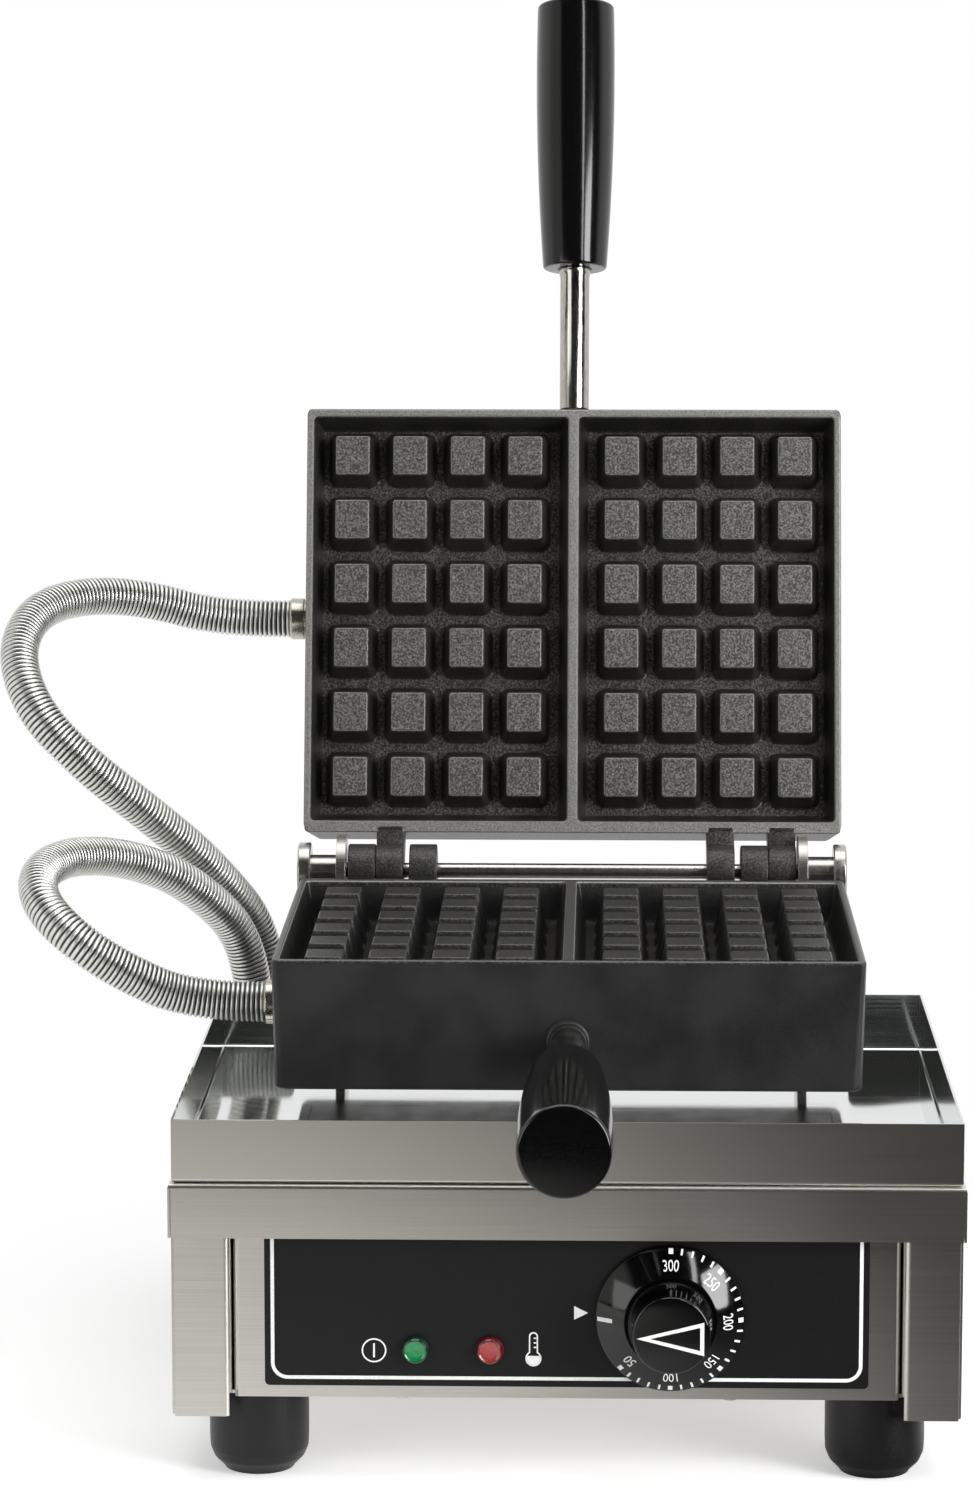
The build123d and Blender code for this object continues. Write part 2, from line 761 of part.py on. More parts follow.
rest_bar_y = iron_rear_y + rest_gap
with BuildPart() as rest_bar:
    with Locations((0, rest_bar_y + rest_bar_depth / 2, hinge_z - rest_bar_drop)):
        Box(2 * upright_x, rest_bar_depth, rest_bar_height, align=(Align.CENTER, Align.CENTER, Align.MAX))
    fillet(rest_bar.edges().filter_by(Axis.X), sheet)
save(rest_bar.part, "rest_bar")

rod_length = 2 * (upright_x + upright_thickness + rod_in_axle_end)
with BuildPart() as hinge_rod:
    with BuildSketch(Plane((-rod_length / 2, hinge_y, hinge_z), z_dir=(1, 0, 0))):
        Circle(rod_d / 2)
    extrude(amount=rod_length)
save(hinge_rod.part, "hinge_rod")

stub_x = upright_x + upright_thickness
with BuildPart() as axle_end_left:
    with BuildSketch(Plane((-stub_x, hinge_y, hinge_z), z_dir=(-1, 0, 0))):
        Circle(axle_end_d / 2)
    extrude(amount=axle_end_length)
    with BuildSketch(Plane((-stub_x - axle_end_length, hinge_y, hinge_z), z_dir=(-1, 0, 0))):
        Circle(collar_d / 2)
    extrude(amount=collar_thickness)
    chamfer(axle_end_left.faces().sort_by(Axis.X)[0].edges(), collar_chamfer)
    with BuildSketch(Plane((-stub_x, hinge_y, hinge_z), z_dir=(-1, 0, 0))):
        Circle(rod_d / 2)
    extrude(amount=rod_in_axle_end, mode=Mode.SUBTRACT)
save(axle_end_left.part, "axle_end_left")

with BuildPart() as axle_end_right:
    mirror(axle_end_left.part, about=Plane.YZ)
save(axle_end_right.part, "axle_end_right")

# Cast irons
pillar_places = [(x, y) for x in (-pillar_x, 0, pillar_x) for y in (-pillar_y, pillar_y)]
bore_d = rod_d + 2 * running_gap
fitting_y = hinge_y - hose_fitting_reach
fitting_z = rim_z - hose_fitting_drop
chamber_width = iron_width - 2 * (iron_draft + chamber_wall)
chamber_length = iron_length - 2 * (iron_draft + chamber_wall)
recess_width = chamber_width + 2 * back_cover_ledge
recess_length = chamber_length + 2 * back_cover_ledge
back_recess_z = back_z + back_cover_thickness


def iron_casting(hose_side):
    """One waffle iron, face up: tapered block, two peg cavities, heater chamber, lugs and bosses."""
    with BuildPart() as casting:
        with BuildSketch(Plane((0, iron_mid_y, back_z))):
            Rectangle(iron_width - 2 * iron_draft, iron_length - 2 * iron_draft)
        with BuildSketch(Plane((0, iron_mid_y, rim_z))):
            Rectangle(iron_width, iron_length)
        loft()
        level = casting.edges().filter_by(Axis.X) + casting.edges().filter_by(Axis.Y)
        fillet(casting.edges() - level, iron_corner_r)
        fillet(casting.faces().sort_by(Axis.Z)[0].edges(), iron_back_r)
        for side in (-1, 1):
            with BuildSketch(Plane((side * cavity_x, cavity_mid_y, rim_z))):
                RectangleRounded(cavity_width, cavity_length, cavity_corner_r)
            with BuildSketch(Plane((side * cavity_x, cavity_mid_y, cavity_floor_z))):
                floor_width = cavity_width - 2 * cavity_draft
                floor_length = cavity_length - 2 * cavity_draft
                RectangleRounded(floor_width, floor_length, cavity_corner_r)
            loft(mode=Mode.SUBTRACT)
            peg_centre = (side * (cavity_x + peg_outward), cavity_mid_y - peg_forward, cavity_floor_z)
            with BuildSketch(Plane(peg_centre)):
                with GridLocations(peg_pitch_x, peg_pitch_y, peg_columns, peg_rows):
                    Rectangle(peg_base_x, peg_base_y)
            peg_height = cavity_depth - peg_recess
            extrude(amount=peg_height, taper=math.degrees(math.atan(peg_draft / peg_height)))
        peg_top_z = rim_z - peg_recess
        peg_tops = casting.faces().filter_by(Plane.XY).filter_by_position(
            Axis.Z, peg_top_z - peg_edge, peg_top_z + peg_edge / 2
        )
        chamfer(peg_tops.edges(), peg_edge)
        with BuildSketch(Plane((0, iron_mid_y, back_z))):
            RectangleRounded(chamber_width, chamber_length, chamber_corner_r)
            with Locations(pillar_places):
                Circle(pillar_d / 2, mode=Mode.SUBTRACT)
        extrude(amount=chamber_top_z - back_z, mode=Mode.SUBTRACT)
        with BuildSketch(Plane((0, iron_mid_y, back_z))):
            RectangleRounded(recess_width, recess_length, chamber_corner_r)
        extrude(amount=back_cover_thickness, mode=Mode.SUBTRACT)
        with Locations([(x, iron_mid_y + y, back_recess_z) for x, y in pillar_places]):
            Cylinder(
                back_screw_d / 2,
                back_screw_hole_depth,
                align=(Align.CENTER, Align.CENTER, Align.MIN),
                mode=Mode.SUBTRACT,
            )
        for lug_x in lower_lugs_x:
            with BuildSketch(Plane((lug_x - lug_width / 2, 0, 0), x_dir=(0, 1, 0), z_dir=(1, 0, 0))):
                with BuildLine():
                    Polyline(
                        (hinge_y, rim_z),
                        (iron_rear_y - rim_hinge_end / 2, rim_z),
                        (iron_rear_y - rim_hinge_end / 2, hinge_z - web_drop),
                        (iron_rear_y, hinge_z - web_drop),
                        (hinge_y, hinge_z - lug_r),
                        close=True,
                    )
                make_face()
                with Locations((hinge_y, hinge_z)):
                    Circle(lug_r)
            extrude(amount=lug_width)
        with Locations(Plane((0, hinge_y, hinge_z), z_dir=(1, 0, 0)).location):
            Cylinder(bore_d / 2, iron_width, mode=Mode.SUBTRACT)
        with BuildSketch(facing(0, iron_front_y + chamber_wall, handle_z, -1)):
            Circle(boss_d / 2)
        extrude(amount=chamber_wall + boss_length)
        with BuildSketch(facing(0, iron_front_y + chamber_wall, handle_z, 1)):
            Circle(boss_d / 2)
        extrude(amount=handle_rod_in_iron)
        handle_mouth = facing(0, iron_front_y - boss_length, handle_z, 1)
        with BuildSketch(handle_mouth):
            Circle(handle_thread_d / 2)
        extrude(amount=boss_length + handle_rod_in_iron, mode=Mode.SUBTRACT)
        port_x = hose_side * iron_width / 2
        with BuildSketch(Plane((port_x, fitting_y, fitting_z), z_dir=(-hose_side, 0, 0))):
            Circle(nipple_d / 2)
        extrude(amount=2 * (chamber_wall + iron_draft), mode=Mode.SUBTRACT)
    return casting.part


save(iron_casting(-1), "lower_iron_casting")
save(opened(iron_casting(1)), "upper_iron_casting")


def iron_piece(part, name):
    """Writes the same piece once for each iron."""
    save(part, "lower_" + name)
    save(opened(part), "upper_" + name)


# Back covers and their countersunk screws
with BuildPart() as back_cover:
    with BuildSketch(Plane((0, iron_mid_y, back_z))):
        RectangleRounded(
            recess_width - 2 * back_cover_gap,
            recess_length - 2 * back_cover_gap,
            chamber_corner_r,
        )
    extrude(amount=back_cover_thickness)
    with Locations([(x, iron_mid_y + y, back_z) for x, y in pillar_places]):
        Cone(
            back_screw_head_d / 2,
            back_screw_d / 2,
            back_cover_thickness,
            align=(Align.CENTER, Align.CENTER, Align.MIN),
            mode=Mode.SUBTRACT,
        )
iron_piece(back_cover.part, "back_cover")

with BuildPart() as back_screw:
    Cone(
        back_screw_head_d / 2,
        back_screw_d / 2,
        back_cover_thickness,
        align=(Align.CENTER, Align.CENTER, Align.MIN),
    )
    with Locations((0, 0, back_cover_thickness)):
        Cylinder(back_screw_d / 2, back_screw_length, align=(Align.CENTER, Align.CENTER, Align.MIN))
back_screws = Compound(
    children=[Location((x, iron_mid_y + y, back_z)) * back_screw.part for x, y in pillar_places]
)
iron_piece(back_screws, "cover_screws")

# Tubular heating element: one tube bent to and fro against the cavity floors
heater_z = chamber_top_z - heater_d / 2
heater_x0 = -heater_pitch * (heater_legs - 1) / 2
heater_y0 = iron_mid_y - heater_leg_length / 2
heater_points = []
for leg in range(heater_legs):
    leg_x = heater_x0 + leg * heater_pitch
    ends = (heater_y0, heater_y0 + heater_leg_length)
    for y in ends if leg % 2 == 0 else reversed(ends):
        heater_points.append((leg_x, y, heater_z))
heater = tube(heater_points, (heater_pitch - heater_bend_gap) / 2, heater_d)
iron_piece(heater, "heating_element")

# Ceramic-fibre insulation between the heater and the back cover
with BuildPart() as insulation:
    with BuildSketch(Plane((0, iron_mid_y, back_recess_z))):
        RectangleRounded(
            chamber_width - 2 * insulation_margin,
            chamber_length - 2 * insulation_margin,
            chamber_corner_r,
        )
        with Locations(pillar_places):
            Circle(pillar_d / 2 + back_cover_gap, mode=Mode.SUBTRACT)
        with Locations((0, -chamber_length / 2)):
            Rectangle(insulation_notch_width, 2 * insulation_notch_depth, mode=Mode.SUBTRACT)
    extrude(amount=heater_z - heater_d / 2 - back_recess_z)
iron_piece(insulation.part, "insulation")

# Sensor bulb of the thermostat, in the lower iron
with BuildPart() as sensor_bulb:
    with BuildSketch(facing(-bulb_x, iron_mid_y - bulb_length / 2, chamber_top_z - bulb_d / 2, 1)):
        Circle(bulb_d / 2)
    extrude(amount=bulb_length)
    fillet(sensor_bulb.edges().filter_by(GeomType.CIRCLE), bulb_edge_r)
save(sensor_bulb.part, "sensor_bulb")

# Handles: plated rod with a threaded end, and a turned grip
boss_front_y = iron_front_y - boss_length
grip_inner_y = iron_front_y - handle_rod_visible
rod_outer_y = grip_inner_y - handle_rod_in_grip
with BuildPart() as handle_rod:
    with BuildSketch(facing(0, rod_outer_y, handle_z, 1)):
        Circle(handle_rod_d / 2)
    extrude(amount=boss_front_y - rod_outer_y)
    with BuildSketch(facing(0, boss_front_y, handle_z, 1)):
        Circle(handle_thread_d / 2)
    extrude(amount=boss_length + handle_rod_in_iron)
iron_piece(handle_rod.part, "handle_rod")

grip_outer_y = grip_inner_y - grip_length
with BuildPart() as grip:
    with BuildSketch(Plane((0, 0, handle_z), x_dir=(1, 0, 0), z_dir=(0, 0, 1))):
        with BuildLine():
            Line((0, grip_inner_y), (0, grip_outer_y))
            Line((0, grip_outer_y), (grip_outer_d / 2, grip_outer_y))
            Spline(
                (grip_outer_d / 2, grip_outer_y),
                (grip_widest_d / 2, grip_outer_y + grip_widest_at),
                (grip_inner_d / 2, grip_inner_y),
            )
            Line((grip_inner_d / 2, grip_inner_y), (0, grip_inner_y))
        make_face()
    revolve(axis=Axis((0, 0, handle_z), (0, 1, 0)))
    fillet(grip.faces().sort_by(Axis.Y)[0].edges(), grip_edge_r)
    fillet(grip.faces().sort_by(Axis.Y)[-1].edges(), grip_edge_r)
    with BuildSketch(facing(0, grip_inner_y, handle_z, -1)):
        Circle(handle_rod_d / 2)
    extrude(amount=handle_rod_in_grip, mode=Mode.SUBTRACT)
iron_piece(grip.part, "handle_grip")

# Hose ferrules in the irons' sides, and hose glands through the cover
for name, side in (("lower", -1), ("upper", 1)):
    with BuildPart() as ferrule:
        with BuildSketch(Plane((side * iron_width / 2, fitting_y, fitting_z), z_dir=(side, 0, 0))):
            Circle(ferrule_d / 2)
        extrude(amount=ferrule_length)
        rims = ferrule.edges().filter_by(GeomType.CIRCLE).group_by(Axis.X)
        chamfer(rims[0 if side < 0 else -1], ferrule_chamfer)
        with BuildSketch(Plane((side * iron_width / 2, fitting_y, fitting_z), z_dir=(-side, 0, 0))):
            Circle(nipple_d / 2)
        extrude(amount=chamber_wall + iron_draft)
        ferrule_end_x = side * (iron_width / 2 + ferrule_length)
        with BuildSketch(Plane((ferrule_end_x, fitting_y, fitting_z), z_dir=(-side, 0, 0))):
            Circle(nipple_bore_d / 2)
        extrude(amount=3 * ferrule_length, mode=Mode.SUBTRACT)
    ferrule_part = ferrule.part if name == "lower" else opened(ferrule.part)
    save(ferrule_part, name + "_hose_ferrule")

for name, (x, y) in zip(("upper", "lower"), gland_places):
    with BuildPart() as gland:
        with BuildSketch(Plane((x, y, cover_top_z))):
            RegularPolygon(gland_d / 2, 6)
        extrude(amount=gland_height)
        with BuildSketch(Plane((x, y, cover_top_z), z_dir=(0, 0, -1))):
            Circle(gland_thread_d / 2)
        extrude(amount=sheet + 2 * gland_nut_height)
        with BuildSketch(Plane((x, y, cover_top_z + gland_height), z_dir=(0, 0, -1))):
            Circle(hose_bore_d / 2)
        extrude(amount=3 * gland_height, mode=Mode.SUBTRACT)
    save(gland.part, name + "_hose_gland")

gland_nuts = []
for x, y in gland_places:
    with BuildPart() as nut:
        with BuildSketch(Plane((x, y, housing_top_z), z_dir=(0, 0, -1))):
            RegularPolygon(gland_nut_d / 2, 6)
            Circle(gland_thread_d / 2, mode=Mode.SUBTRACT)
        extrude(amount=gland_nut_height)
    gland_nuts.append(nut.part)
save(Compound(children=gland_nuts), "gland_nuts")

# Armoured hoses: each route starts at its ferrule, loops out to the left and goes down into its gland
ferrule_face = (-(iron_width / 2 + ferrule_length), fitting_y, fitting_z)
upper_ferrule_face = opened_point(iron_width / 2 + ferrule_length, fitting_y, fitting_z)
gland_face_z = cover_top_z + gland_height
upper_route = (
    upper_ferrule_face,
    (-164, upper_ferrule_face[1], upper_ferrule_face[2]),
    (-196, 187, 320.5),
    (-223.5, 172, 324),
    (-244.5, 149, 319.5),
    (-250.5, 121, 303),
    (-239.5, 101, 279),
    (-215, 98, 255),
    (-189, 111, 231.5),
    (-164.5, 131, 206),
    (upper_gland_x, gland_places[0][1], 167.6),
    (upper_gland_x, gland_places[0][1], gland_face_z),
)
lower_route = (
    ferrule_face,
    (-163, ferrule_face[1], ferrule_face[2]),
    (-192, 1, 182),
    (-213, -1.5, 197),
    (-228, 10.5, 210),
    (-231, 34.5, 219),
    (-219, 60.5, 222),
    (-196, 87, 216),
    (-170, 109, 201),
    (lower_gland_x, gland_places[1][1], 168),
    (lower_gland_x, gland_places[1][1], gland_face_z),
)


# Each rib is a short groove, a slope up, a flat crest and a slope down.
rib_profile = ((0.0, hose_root_d), (rib_groove, hose_root_d), (rib_crest, hose_d), (rib_crest_end, hose_d))
slope_square = (hose_root_d**2 + hose_root_d * hose_d + hose_d**2) / 3
crest = rib_crest_end - rib_crest
slopes = 1 - crest - rib_groove
mean_square = rib_groove * hose_root_d**2 + crest * hose_d**2 + slopes * slope_square
never_along = Vector(1, -1, 1)


def hose(route, ribs, name):
    """A ribbed tube with its bore along straight runs joined by the largest arcs they allow."""
    runs = [(Vector(b) - Vector(a)) for a, b in zip(route, route[1:])]
    radii = []
    for before, after in zip(runs, runs[1:]):
        turn = math.radians(before.get_angle(after))
        radii.append(arc_share * min(before.length, after.length) / math.tan(turn / 2))
    print(name, "radii", [round(r, 1) for r in radii])
    with BuildLine() as path:
        FilletPolyline(*route, radius=radii)
    line = path.wire()
    rings = []
    for rib in range(ribs):
        rings += [((rib + share) / ribs, diameter) for share, diameter in rib_profile]
    rings.append((1.0, hose_root_d))
    circles = []
    for place, diameter in rings:
        along = (line % place).normalized()
        steady_x = (never_along - along * never_along.dot(along)).normalized()
        with BuildSketch(Plane(line @ place, x_dir=steady_x, z_dir=along)) as circle:
            Circle(diameter / 2)
        circles.append(circle.sketch)
    with BuildPart() as ribbed:
        loft(circles, ruled=True)
        with BuildSketch(Plane(line @ 0, z_dir=line % 0)):
            Circle(hose_bore_d / 2)
        sweep(path=line, mode=Mode.SUBTRACT)
    expected = math.pi / 4 * (mean_square - hose_bore_d**2) * line.length
    print(name, "length", round(line.length, 1))
    print(name, "volume", round(ribbed.part.volume), "section times length", round(expected))
    save(ribbed.part, name)


hose(upper_route, upper_hose_ribs, "upper_hose")
hose(lower_route, lower_hose_ribs, "lower_hose")
print("hinge_y", round(hinge_y, 3), "front_y", round(front_y, 3), "upper ferrule", upper_ferrule_face)
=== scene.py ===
import json
import math

import bmesh
import bpy
import numpy as np
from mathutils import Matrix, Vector

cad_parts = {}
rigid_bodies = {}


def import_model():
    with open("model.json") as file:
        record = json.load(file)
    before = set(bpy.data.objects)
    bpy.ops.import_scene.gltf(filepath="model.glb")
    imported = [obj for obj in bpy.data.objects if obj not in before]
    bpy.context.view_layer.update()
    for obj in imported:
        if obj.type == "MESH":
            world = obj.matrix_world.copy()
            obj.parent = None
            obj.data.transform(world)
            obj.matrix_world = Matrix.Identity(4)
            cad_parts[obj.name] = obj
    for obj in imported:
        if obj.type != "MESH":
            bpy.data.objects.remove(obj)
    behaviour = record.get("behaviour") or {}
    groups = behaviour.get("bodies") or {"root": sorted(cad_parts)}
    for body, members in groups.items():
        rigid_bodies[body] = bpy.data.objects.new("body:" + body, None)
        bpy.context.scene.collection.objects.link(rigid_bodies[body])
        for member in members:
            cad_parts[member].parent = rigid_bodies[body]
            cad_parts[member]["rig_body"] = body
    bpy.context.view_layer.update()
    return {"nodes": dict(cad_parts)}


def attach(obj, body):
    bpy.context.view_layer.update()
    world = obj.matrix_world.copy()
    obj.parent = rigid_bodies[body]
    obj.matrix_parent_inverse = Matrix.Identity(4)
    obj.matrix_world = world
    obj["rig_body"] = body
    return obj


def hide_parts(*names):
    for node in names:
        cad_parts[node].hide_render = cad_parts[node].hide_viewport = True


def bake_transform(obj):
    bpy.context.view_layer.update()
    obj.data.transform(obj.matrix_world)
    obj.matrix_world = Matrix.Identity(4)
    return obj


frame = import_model()
nodes = frame["nodes"]

# Shapes are worked out in the frame's millimetres and put into the meshes in metres.
# X runs along the hinge, Y to the back and Z up.
MM = 0.001
OPEN_ANGLE = math.radians(104.32)
HINGE = np.array((0.0, 128.726, 203.7))
FRONT_Y = -143.674
LABEL_Y = FRONT_Y + 4.5

# One iron, face up
IRON_HALF = np.array((121.85, 97.15))
IRON_MID_Y = 14.076
IRON_FRONT_Y = IRON_MID_Y - IRON_HALF[1]
IRON_REAR_Y = IRON_MID_Y + IRON_HALF[1]
RIM_Z = 203.1
IRON_DEPTH = 54.4
IRON_DRAFT = 1.15
IRON_CORNER_R = 2.2
IRON_BACK_R = 2.0
RIM_EDGE_R = 0.8
CAVITY_HALF = np.array((58.35, 92.95))
CAVITY_X = 60.6
CAVITY_Y = 13.176
CAVITY_DEPTH = 18.4
CAVITY_DRAFT = 4.0
CAVITY_CORNER_R = 2.0
FLOOR_ROUNDING, PEG_ROUNDING, FOOT_ROUNDING, RIM_ROUNDING = 3.5, 3.0, 4.5, 2.2
PEG_PITCH = np.array((26.3, 29.5))
PEG_HALF = np.array((7.8, 8.9))
PEG_COUNT = np.array((4, 6))
PEG_DRAFT = 3.4
PEG_RECESS = 0.6
PEG_X = CAVITY_X + 0.95
PEG_Y = CAVITY_Y - 1.2
PEG_CORNER_R = 1.2
BACK_COVER_EDGE = 5.65
CHAMBER_EDGE = 7.15
CHAMBER_R = 6.0
BACK_COVER_THICKNESS = 1.5
CHAMBER_DEPTH = 25.4
BACK_CORNER_R = 4.2
LUG_R = 12.0
LUG_WIDTH = 12.4
LUG_EDGE_R = 0.7
LOWER_LUGS_X = (-94.8, -67.15, 82.3)
WEB_DROP = 22.0
WEB_IN_WALL = 2.55
WEB_CHAMFER = 0.6
HANDLE_Z = RIM_Z - 33.6
FITTING_Y = 9.226
FITTING_Z = 167.1


# Camera and lamps

def linear(hex_colour):
    """An sRGB hex colour as linear red, green, blue and alpha."""
    srgb = np.array([int(hex_colour[i:i + 2], 16) for i in (1, 3, 5)]) / 255
    low, high = srgb / 12.92, ((srgb + 0.055) / 1.055) ** 2.4
    return (*np.where(srgb <= 0.04045, low, high), 1.0)


def in_scene(name, data):
    """A new object at the origin, in the scene."""
    made = bpy.data.objects.new(name, data)
    bpy.context.scene.collection.objects.link(made)
    return made


# The photo's camera, fitted to the object's straight edges
camera = in_scene("camera", bpy.data.cameras.new("camera"))
camera.location = (0.01369, -2.00690, 0.57574)
camera.rotation_euler = (math.pi / 2 - 0.1472, 0, 0.0246)
camera.data.lens = 114.95
camera.data.sensor_width = 36
camera.data.clip_start = 0.05
camera.data.clip_end = 60
bpy.context.scene.camera = camera
bpy.context.scene.view_settings.view_transform = "Standard"


def softbox(name, place, target, size, watts):
    """A rectangular soft lamp at a place, turned to a target."""
    lamp = bpy.data.lights.new(name, "AREA")
    lamp.shape = "RECTANGLE"
    lamp.size, lamp.size_y = size
    lamp.energy = watts
    made = in_scene(name, lamp)
    made.location = place
    made.rotation_euler = (Vector(target) - Vector(place)).to_track_quat("-Z", "Y").to_euler()


softbox("top_softbox", (0.0, -0.1, 2.1), (0, 0, 0.2), (1.9, 1.4), 17)
softbox("right_softbox", (1.25, -1.0, 0.57), (0, 0, 0.15), (0.6, 1.05), 25)
softbox("left_softbox", (-1.3, -1.3, 0.4), (0, 0, 0.15), (1.0, 0.8), 5)
softbox("front_strip", (0.54, -0.84, 1.04), (0, 0.23, 0.53), (0.1, 0.75), 2.2)


# Nodes and materials

def add(tree, kind, inputs=None, **settings):
    """Adds a shader node with its settings. Each input is a value, or the socket that feeds it."""
    node = tree.nodes.new("ShaderNode" + kind)
    for name, value in settings.items():
        setattr(node, name, value)
    for name, value in (inputs or {}).items():
        if isinstance(value, bpy.types.NodeSocket):
            tree.links.new(value, node.inputs[name])
        else:
            node.inputs[name].default_value = value
    return node


def blend_colour(factor, low, high):
    """A colour that goes from low to high with the factor. Each is a hex colour or a socket."""
    low, high = (linear(side) if isinstance(side, str) else side for side in (low, high))
    made = add(factor.id_data, "Mix", {0: factor, 6: low, 7: high}, data_type="RGBA")
    return made.outputs[2]


def blend_value(factor, low, high):
    """A number that goes from low to high with the factor. Each is a number or a socket."""
    return add(factor.id_data, "Mix", {0: factor, 2: low, 3: high}).outputs[0]


def blend_shader(factor, low, high):
    """A shader that goes from low to high with the factor."""
    return add(factor.id_data, "MixShader", {0: factor, 1: low, 2: high}).outputs[0]


def spread(value, low, high, out_low=0.0, out_high=1.0):
    """Maps a socket's values from low..high to out_low..out_high, eased and held at the ends."""
    sizes = {"Value": value, "From Min": low, "From Max": high, "To Min": out_low,
             "To Max": out_high}
    return add(value.id_data, "MapRange", sizes, interpolation_type="SMOOTHSTEP").outputs["Result"]


def reckon(operation, *values):
    """The Math node's operation on one socket or two."""
    return add(values[0].id_data, "Math", dict(enumerate(values)), operation=operation).outputs[0]


def parts_of(vector):
    """A vector's parts, by the names of their axes."""
    return add(vector.id_data, "SeparateXYZ", {"Vector": vector}).outputs


def noise(where, size_mm, detail=2.0):
    """A noise of 0 to 1 whose features are about size_mm millimetres across."""
    sizes = {"Vector": where, "Scale": 1 / (size_mm * MM), "Detail": detail}
    return add(where.id_data, "TexNoise", sizes).outputs["Fac"]


def drawn_out(where, scale):
    """Coordinates scaled by axis: a pattern over them is drawn out where the scale is under 1."""
    return add(where.id_data, "Mapping", {"Vector": where, "Scale": scale}).outputs["Vector"]


def tone_of(tree):
    """The tone that the mesh carries from point to point."""
    return add(tree, "Attribute", attribute_name="tone").outputs["Fac"]


def new_material(name):
    """An empty node material: the material, its tree and Object coordinates."""
    material = bpy.data.materials.new(name)
    material.use_nodes = True
    tree = material.node_tree
    tree.nodes.clear()
    return material, tree, add(tree, "TexCoord").outputs["Object"]


def finished(material, inputs):
    """Closes a material with one Principled shader."""
    shader = add(material.node_tree, "BsdfPrincipled", inputs).outputs["BSDF"]
    add(material.node_tree, "OutputMaterial", {"Surface": shader})
    return material


def bumped(height, depth_mm, strength):
    """The shading normal over a height pattern of 0 to 1 that is depth_mm deep."""
    sizes = {"Height": height, "Distance": depth_mm * MM, "Strength": strength}
    return add(height.id_data, "Bump", sizes).outputs["Normal"]


def seasoned_cast_iron():
    """Grey iron, sand cast, blasted and seasoned: charcoal outside, with a leathery 1 mm grain in
    the cavities, and grey metal where it is ground or worn. The tone is 0 outside, 0.3 on the
    floors, 0.7 on peg tops, 0.85 on the rim and 1 or more along edges, where a painted highlight
    stands for light caught by the edges as well as worn metal. The lower iron's face, below the
    hinge at rest and under the open upper iron, is darkened with painted shade."""
    material, tree, where = new_material("seasoned_cast_iron")
    tone = tone_of(tree)
    grain = noise(where, 0.9, 3.0)
    patches = noise(where, 22)
    grit = noise(where, 0.6)
    speck = spread(grain, 0.36, 0.72)
    above = spread(parts_of(where)["Z"], RIM_Z * MM, (RIM_Z + 9) * MM)
    # Painted shade: the lower iron's face, below the rim plane, is multiplied by a grey to darken
    # it under the open upper iron
    lower_face_shade = blend_colour(above, "#aaaaaa", "#ffffff")
    outside = blend_colour(spread(patches, 0.3, 0.7), "#202020", "#2d2d2d")
    floors = blend_colour(speck, "#232221", "#6a6660")
    tops = blend_colour(speck, "#383837", "#7c7a77")
    ground = blend_colour(spread(grit, 0.35, 0.65), "#696866", "#8b8a87")
    face = blend_colour(spread(tone, 0.4, 0.7), floors, tops)
    face = blend_colour(spread(tone, 0.75, 0.85), face, ground)
    darkened = {0: 1.0, 6: face, 7: lower_face_shade}
    face = add(tree, "Mix", darkened, data_type="RGBA", blend_type="MULTIPLY").outputs[2]
    colour = blend_colour(spread(tone, 0.05, 0.3), outside, face)
    # Painted highlight: past a tone of 0.88, along edges, the colour turns pale grey, for light
    # caught by the edges as well as worn metal
    colour = blend_colour(spread(tone, 0.88, 1.1), colour, "#a5a4a1")
    rough_cast = spread(tone, 0.0, 0.3, 0.25, 1.0)
    return finished(material, {
        "Base Color": colour,
        "Metallic": 0.3,
        "Roughness": spread(grit, 0.3, 0.7, 0.34, 0.5),
        "Normal": bumped(blend_value(rough_cast, 0.5, grain), 0.3, 0.8),
    })


def across_brushing(tree):
    """The direction square to brushing that runs level round upright sheet and along X on top."""
    return add(tree, "CombineXYZ", {"X": 0.0, "Y": 0.1, "Z": 1.0}).outputs["Vector"]


def brushed_stainless(name, hex_low, hex_high, roughness):
    """Stainless sheet, brushed along its length: fine parallel streaks, 0.1 mm apart, drawn about
    0.35 mm so that they show. The highlights are drawn out square to them, along the tangent."""
    material, tree, where = new_material(name)
    facing = parts_of(add(tree, "NewGeometry").outputs["Normal"])["X"]
    sideways = spread(reckon("ABSOLUTE", facing), 0.4, 0.6)
    along_x, along_y = (noise(drawn_out(where, scale), 0.35)
                        for scale in ((0.004, 1, 1), (1, 0.004, 1)))
    line = blend_value(sideways, along_x, along_y)
    fine = spread(line, 0.2, 0.8, roughness, roughness + 0.04)
    broad = spread(noise(where, 60, 1.0), 0.2, 0.8, -0.015, 0.03)
    return finished(material, {
        "Base Color": blend_colour(spread(line, 0.2, 0.8), hex_low, hex_high),
        "Metallic": 1.0,
        "Roughness": reckon("ADD", fine, broad),
        "Anisotropic": 0.75,
        "Tangent": across_brushing(tree),
        "Normal": bumped(line, 0.003, 0.25),
    })


def rolled_stainless():
    """Bright annealed stainless sheet, rolled smooth and wiped: mirrors with a slight haze and
    faint wipe marks. The tray's front wall is brushed to match the base below it."""
    material, tree, where = new_material("rolled_stainless")
    mark = noise(drawn_out(where, (0.02, 1, 1)), 0.8, 3.0)
    depth = parts_of(where)["Y"]
    inside = spread(depth, (FRONT_Y + 0.05) * MM, (FRONT_Y + 0.45) * MM)
    brushed = spread(mark, 0.2, 0.8, 0.29, 0.33)
    mirror = spread(mark, 0.3, 0.75, 0.04, 0.09)
    return finished(material, {
        "Base Color": blend_colour(inside, "#c6c3bd", "#dadcdb"),
        "Metallic": 1.0,
        "Roughness": blend_value(inside, brushed, mirror),
        "Anisotropic": spread(inside, 0.0, 1.0, 0.75, 0.0),
        "Tangent": across_brushing(tree),
        "Normal": bumped(mark, 0.003, 0.15),
    })


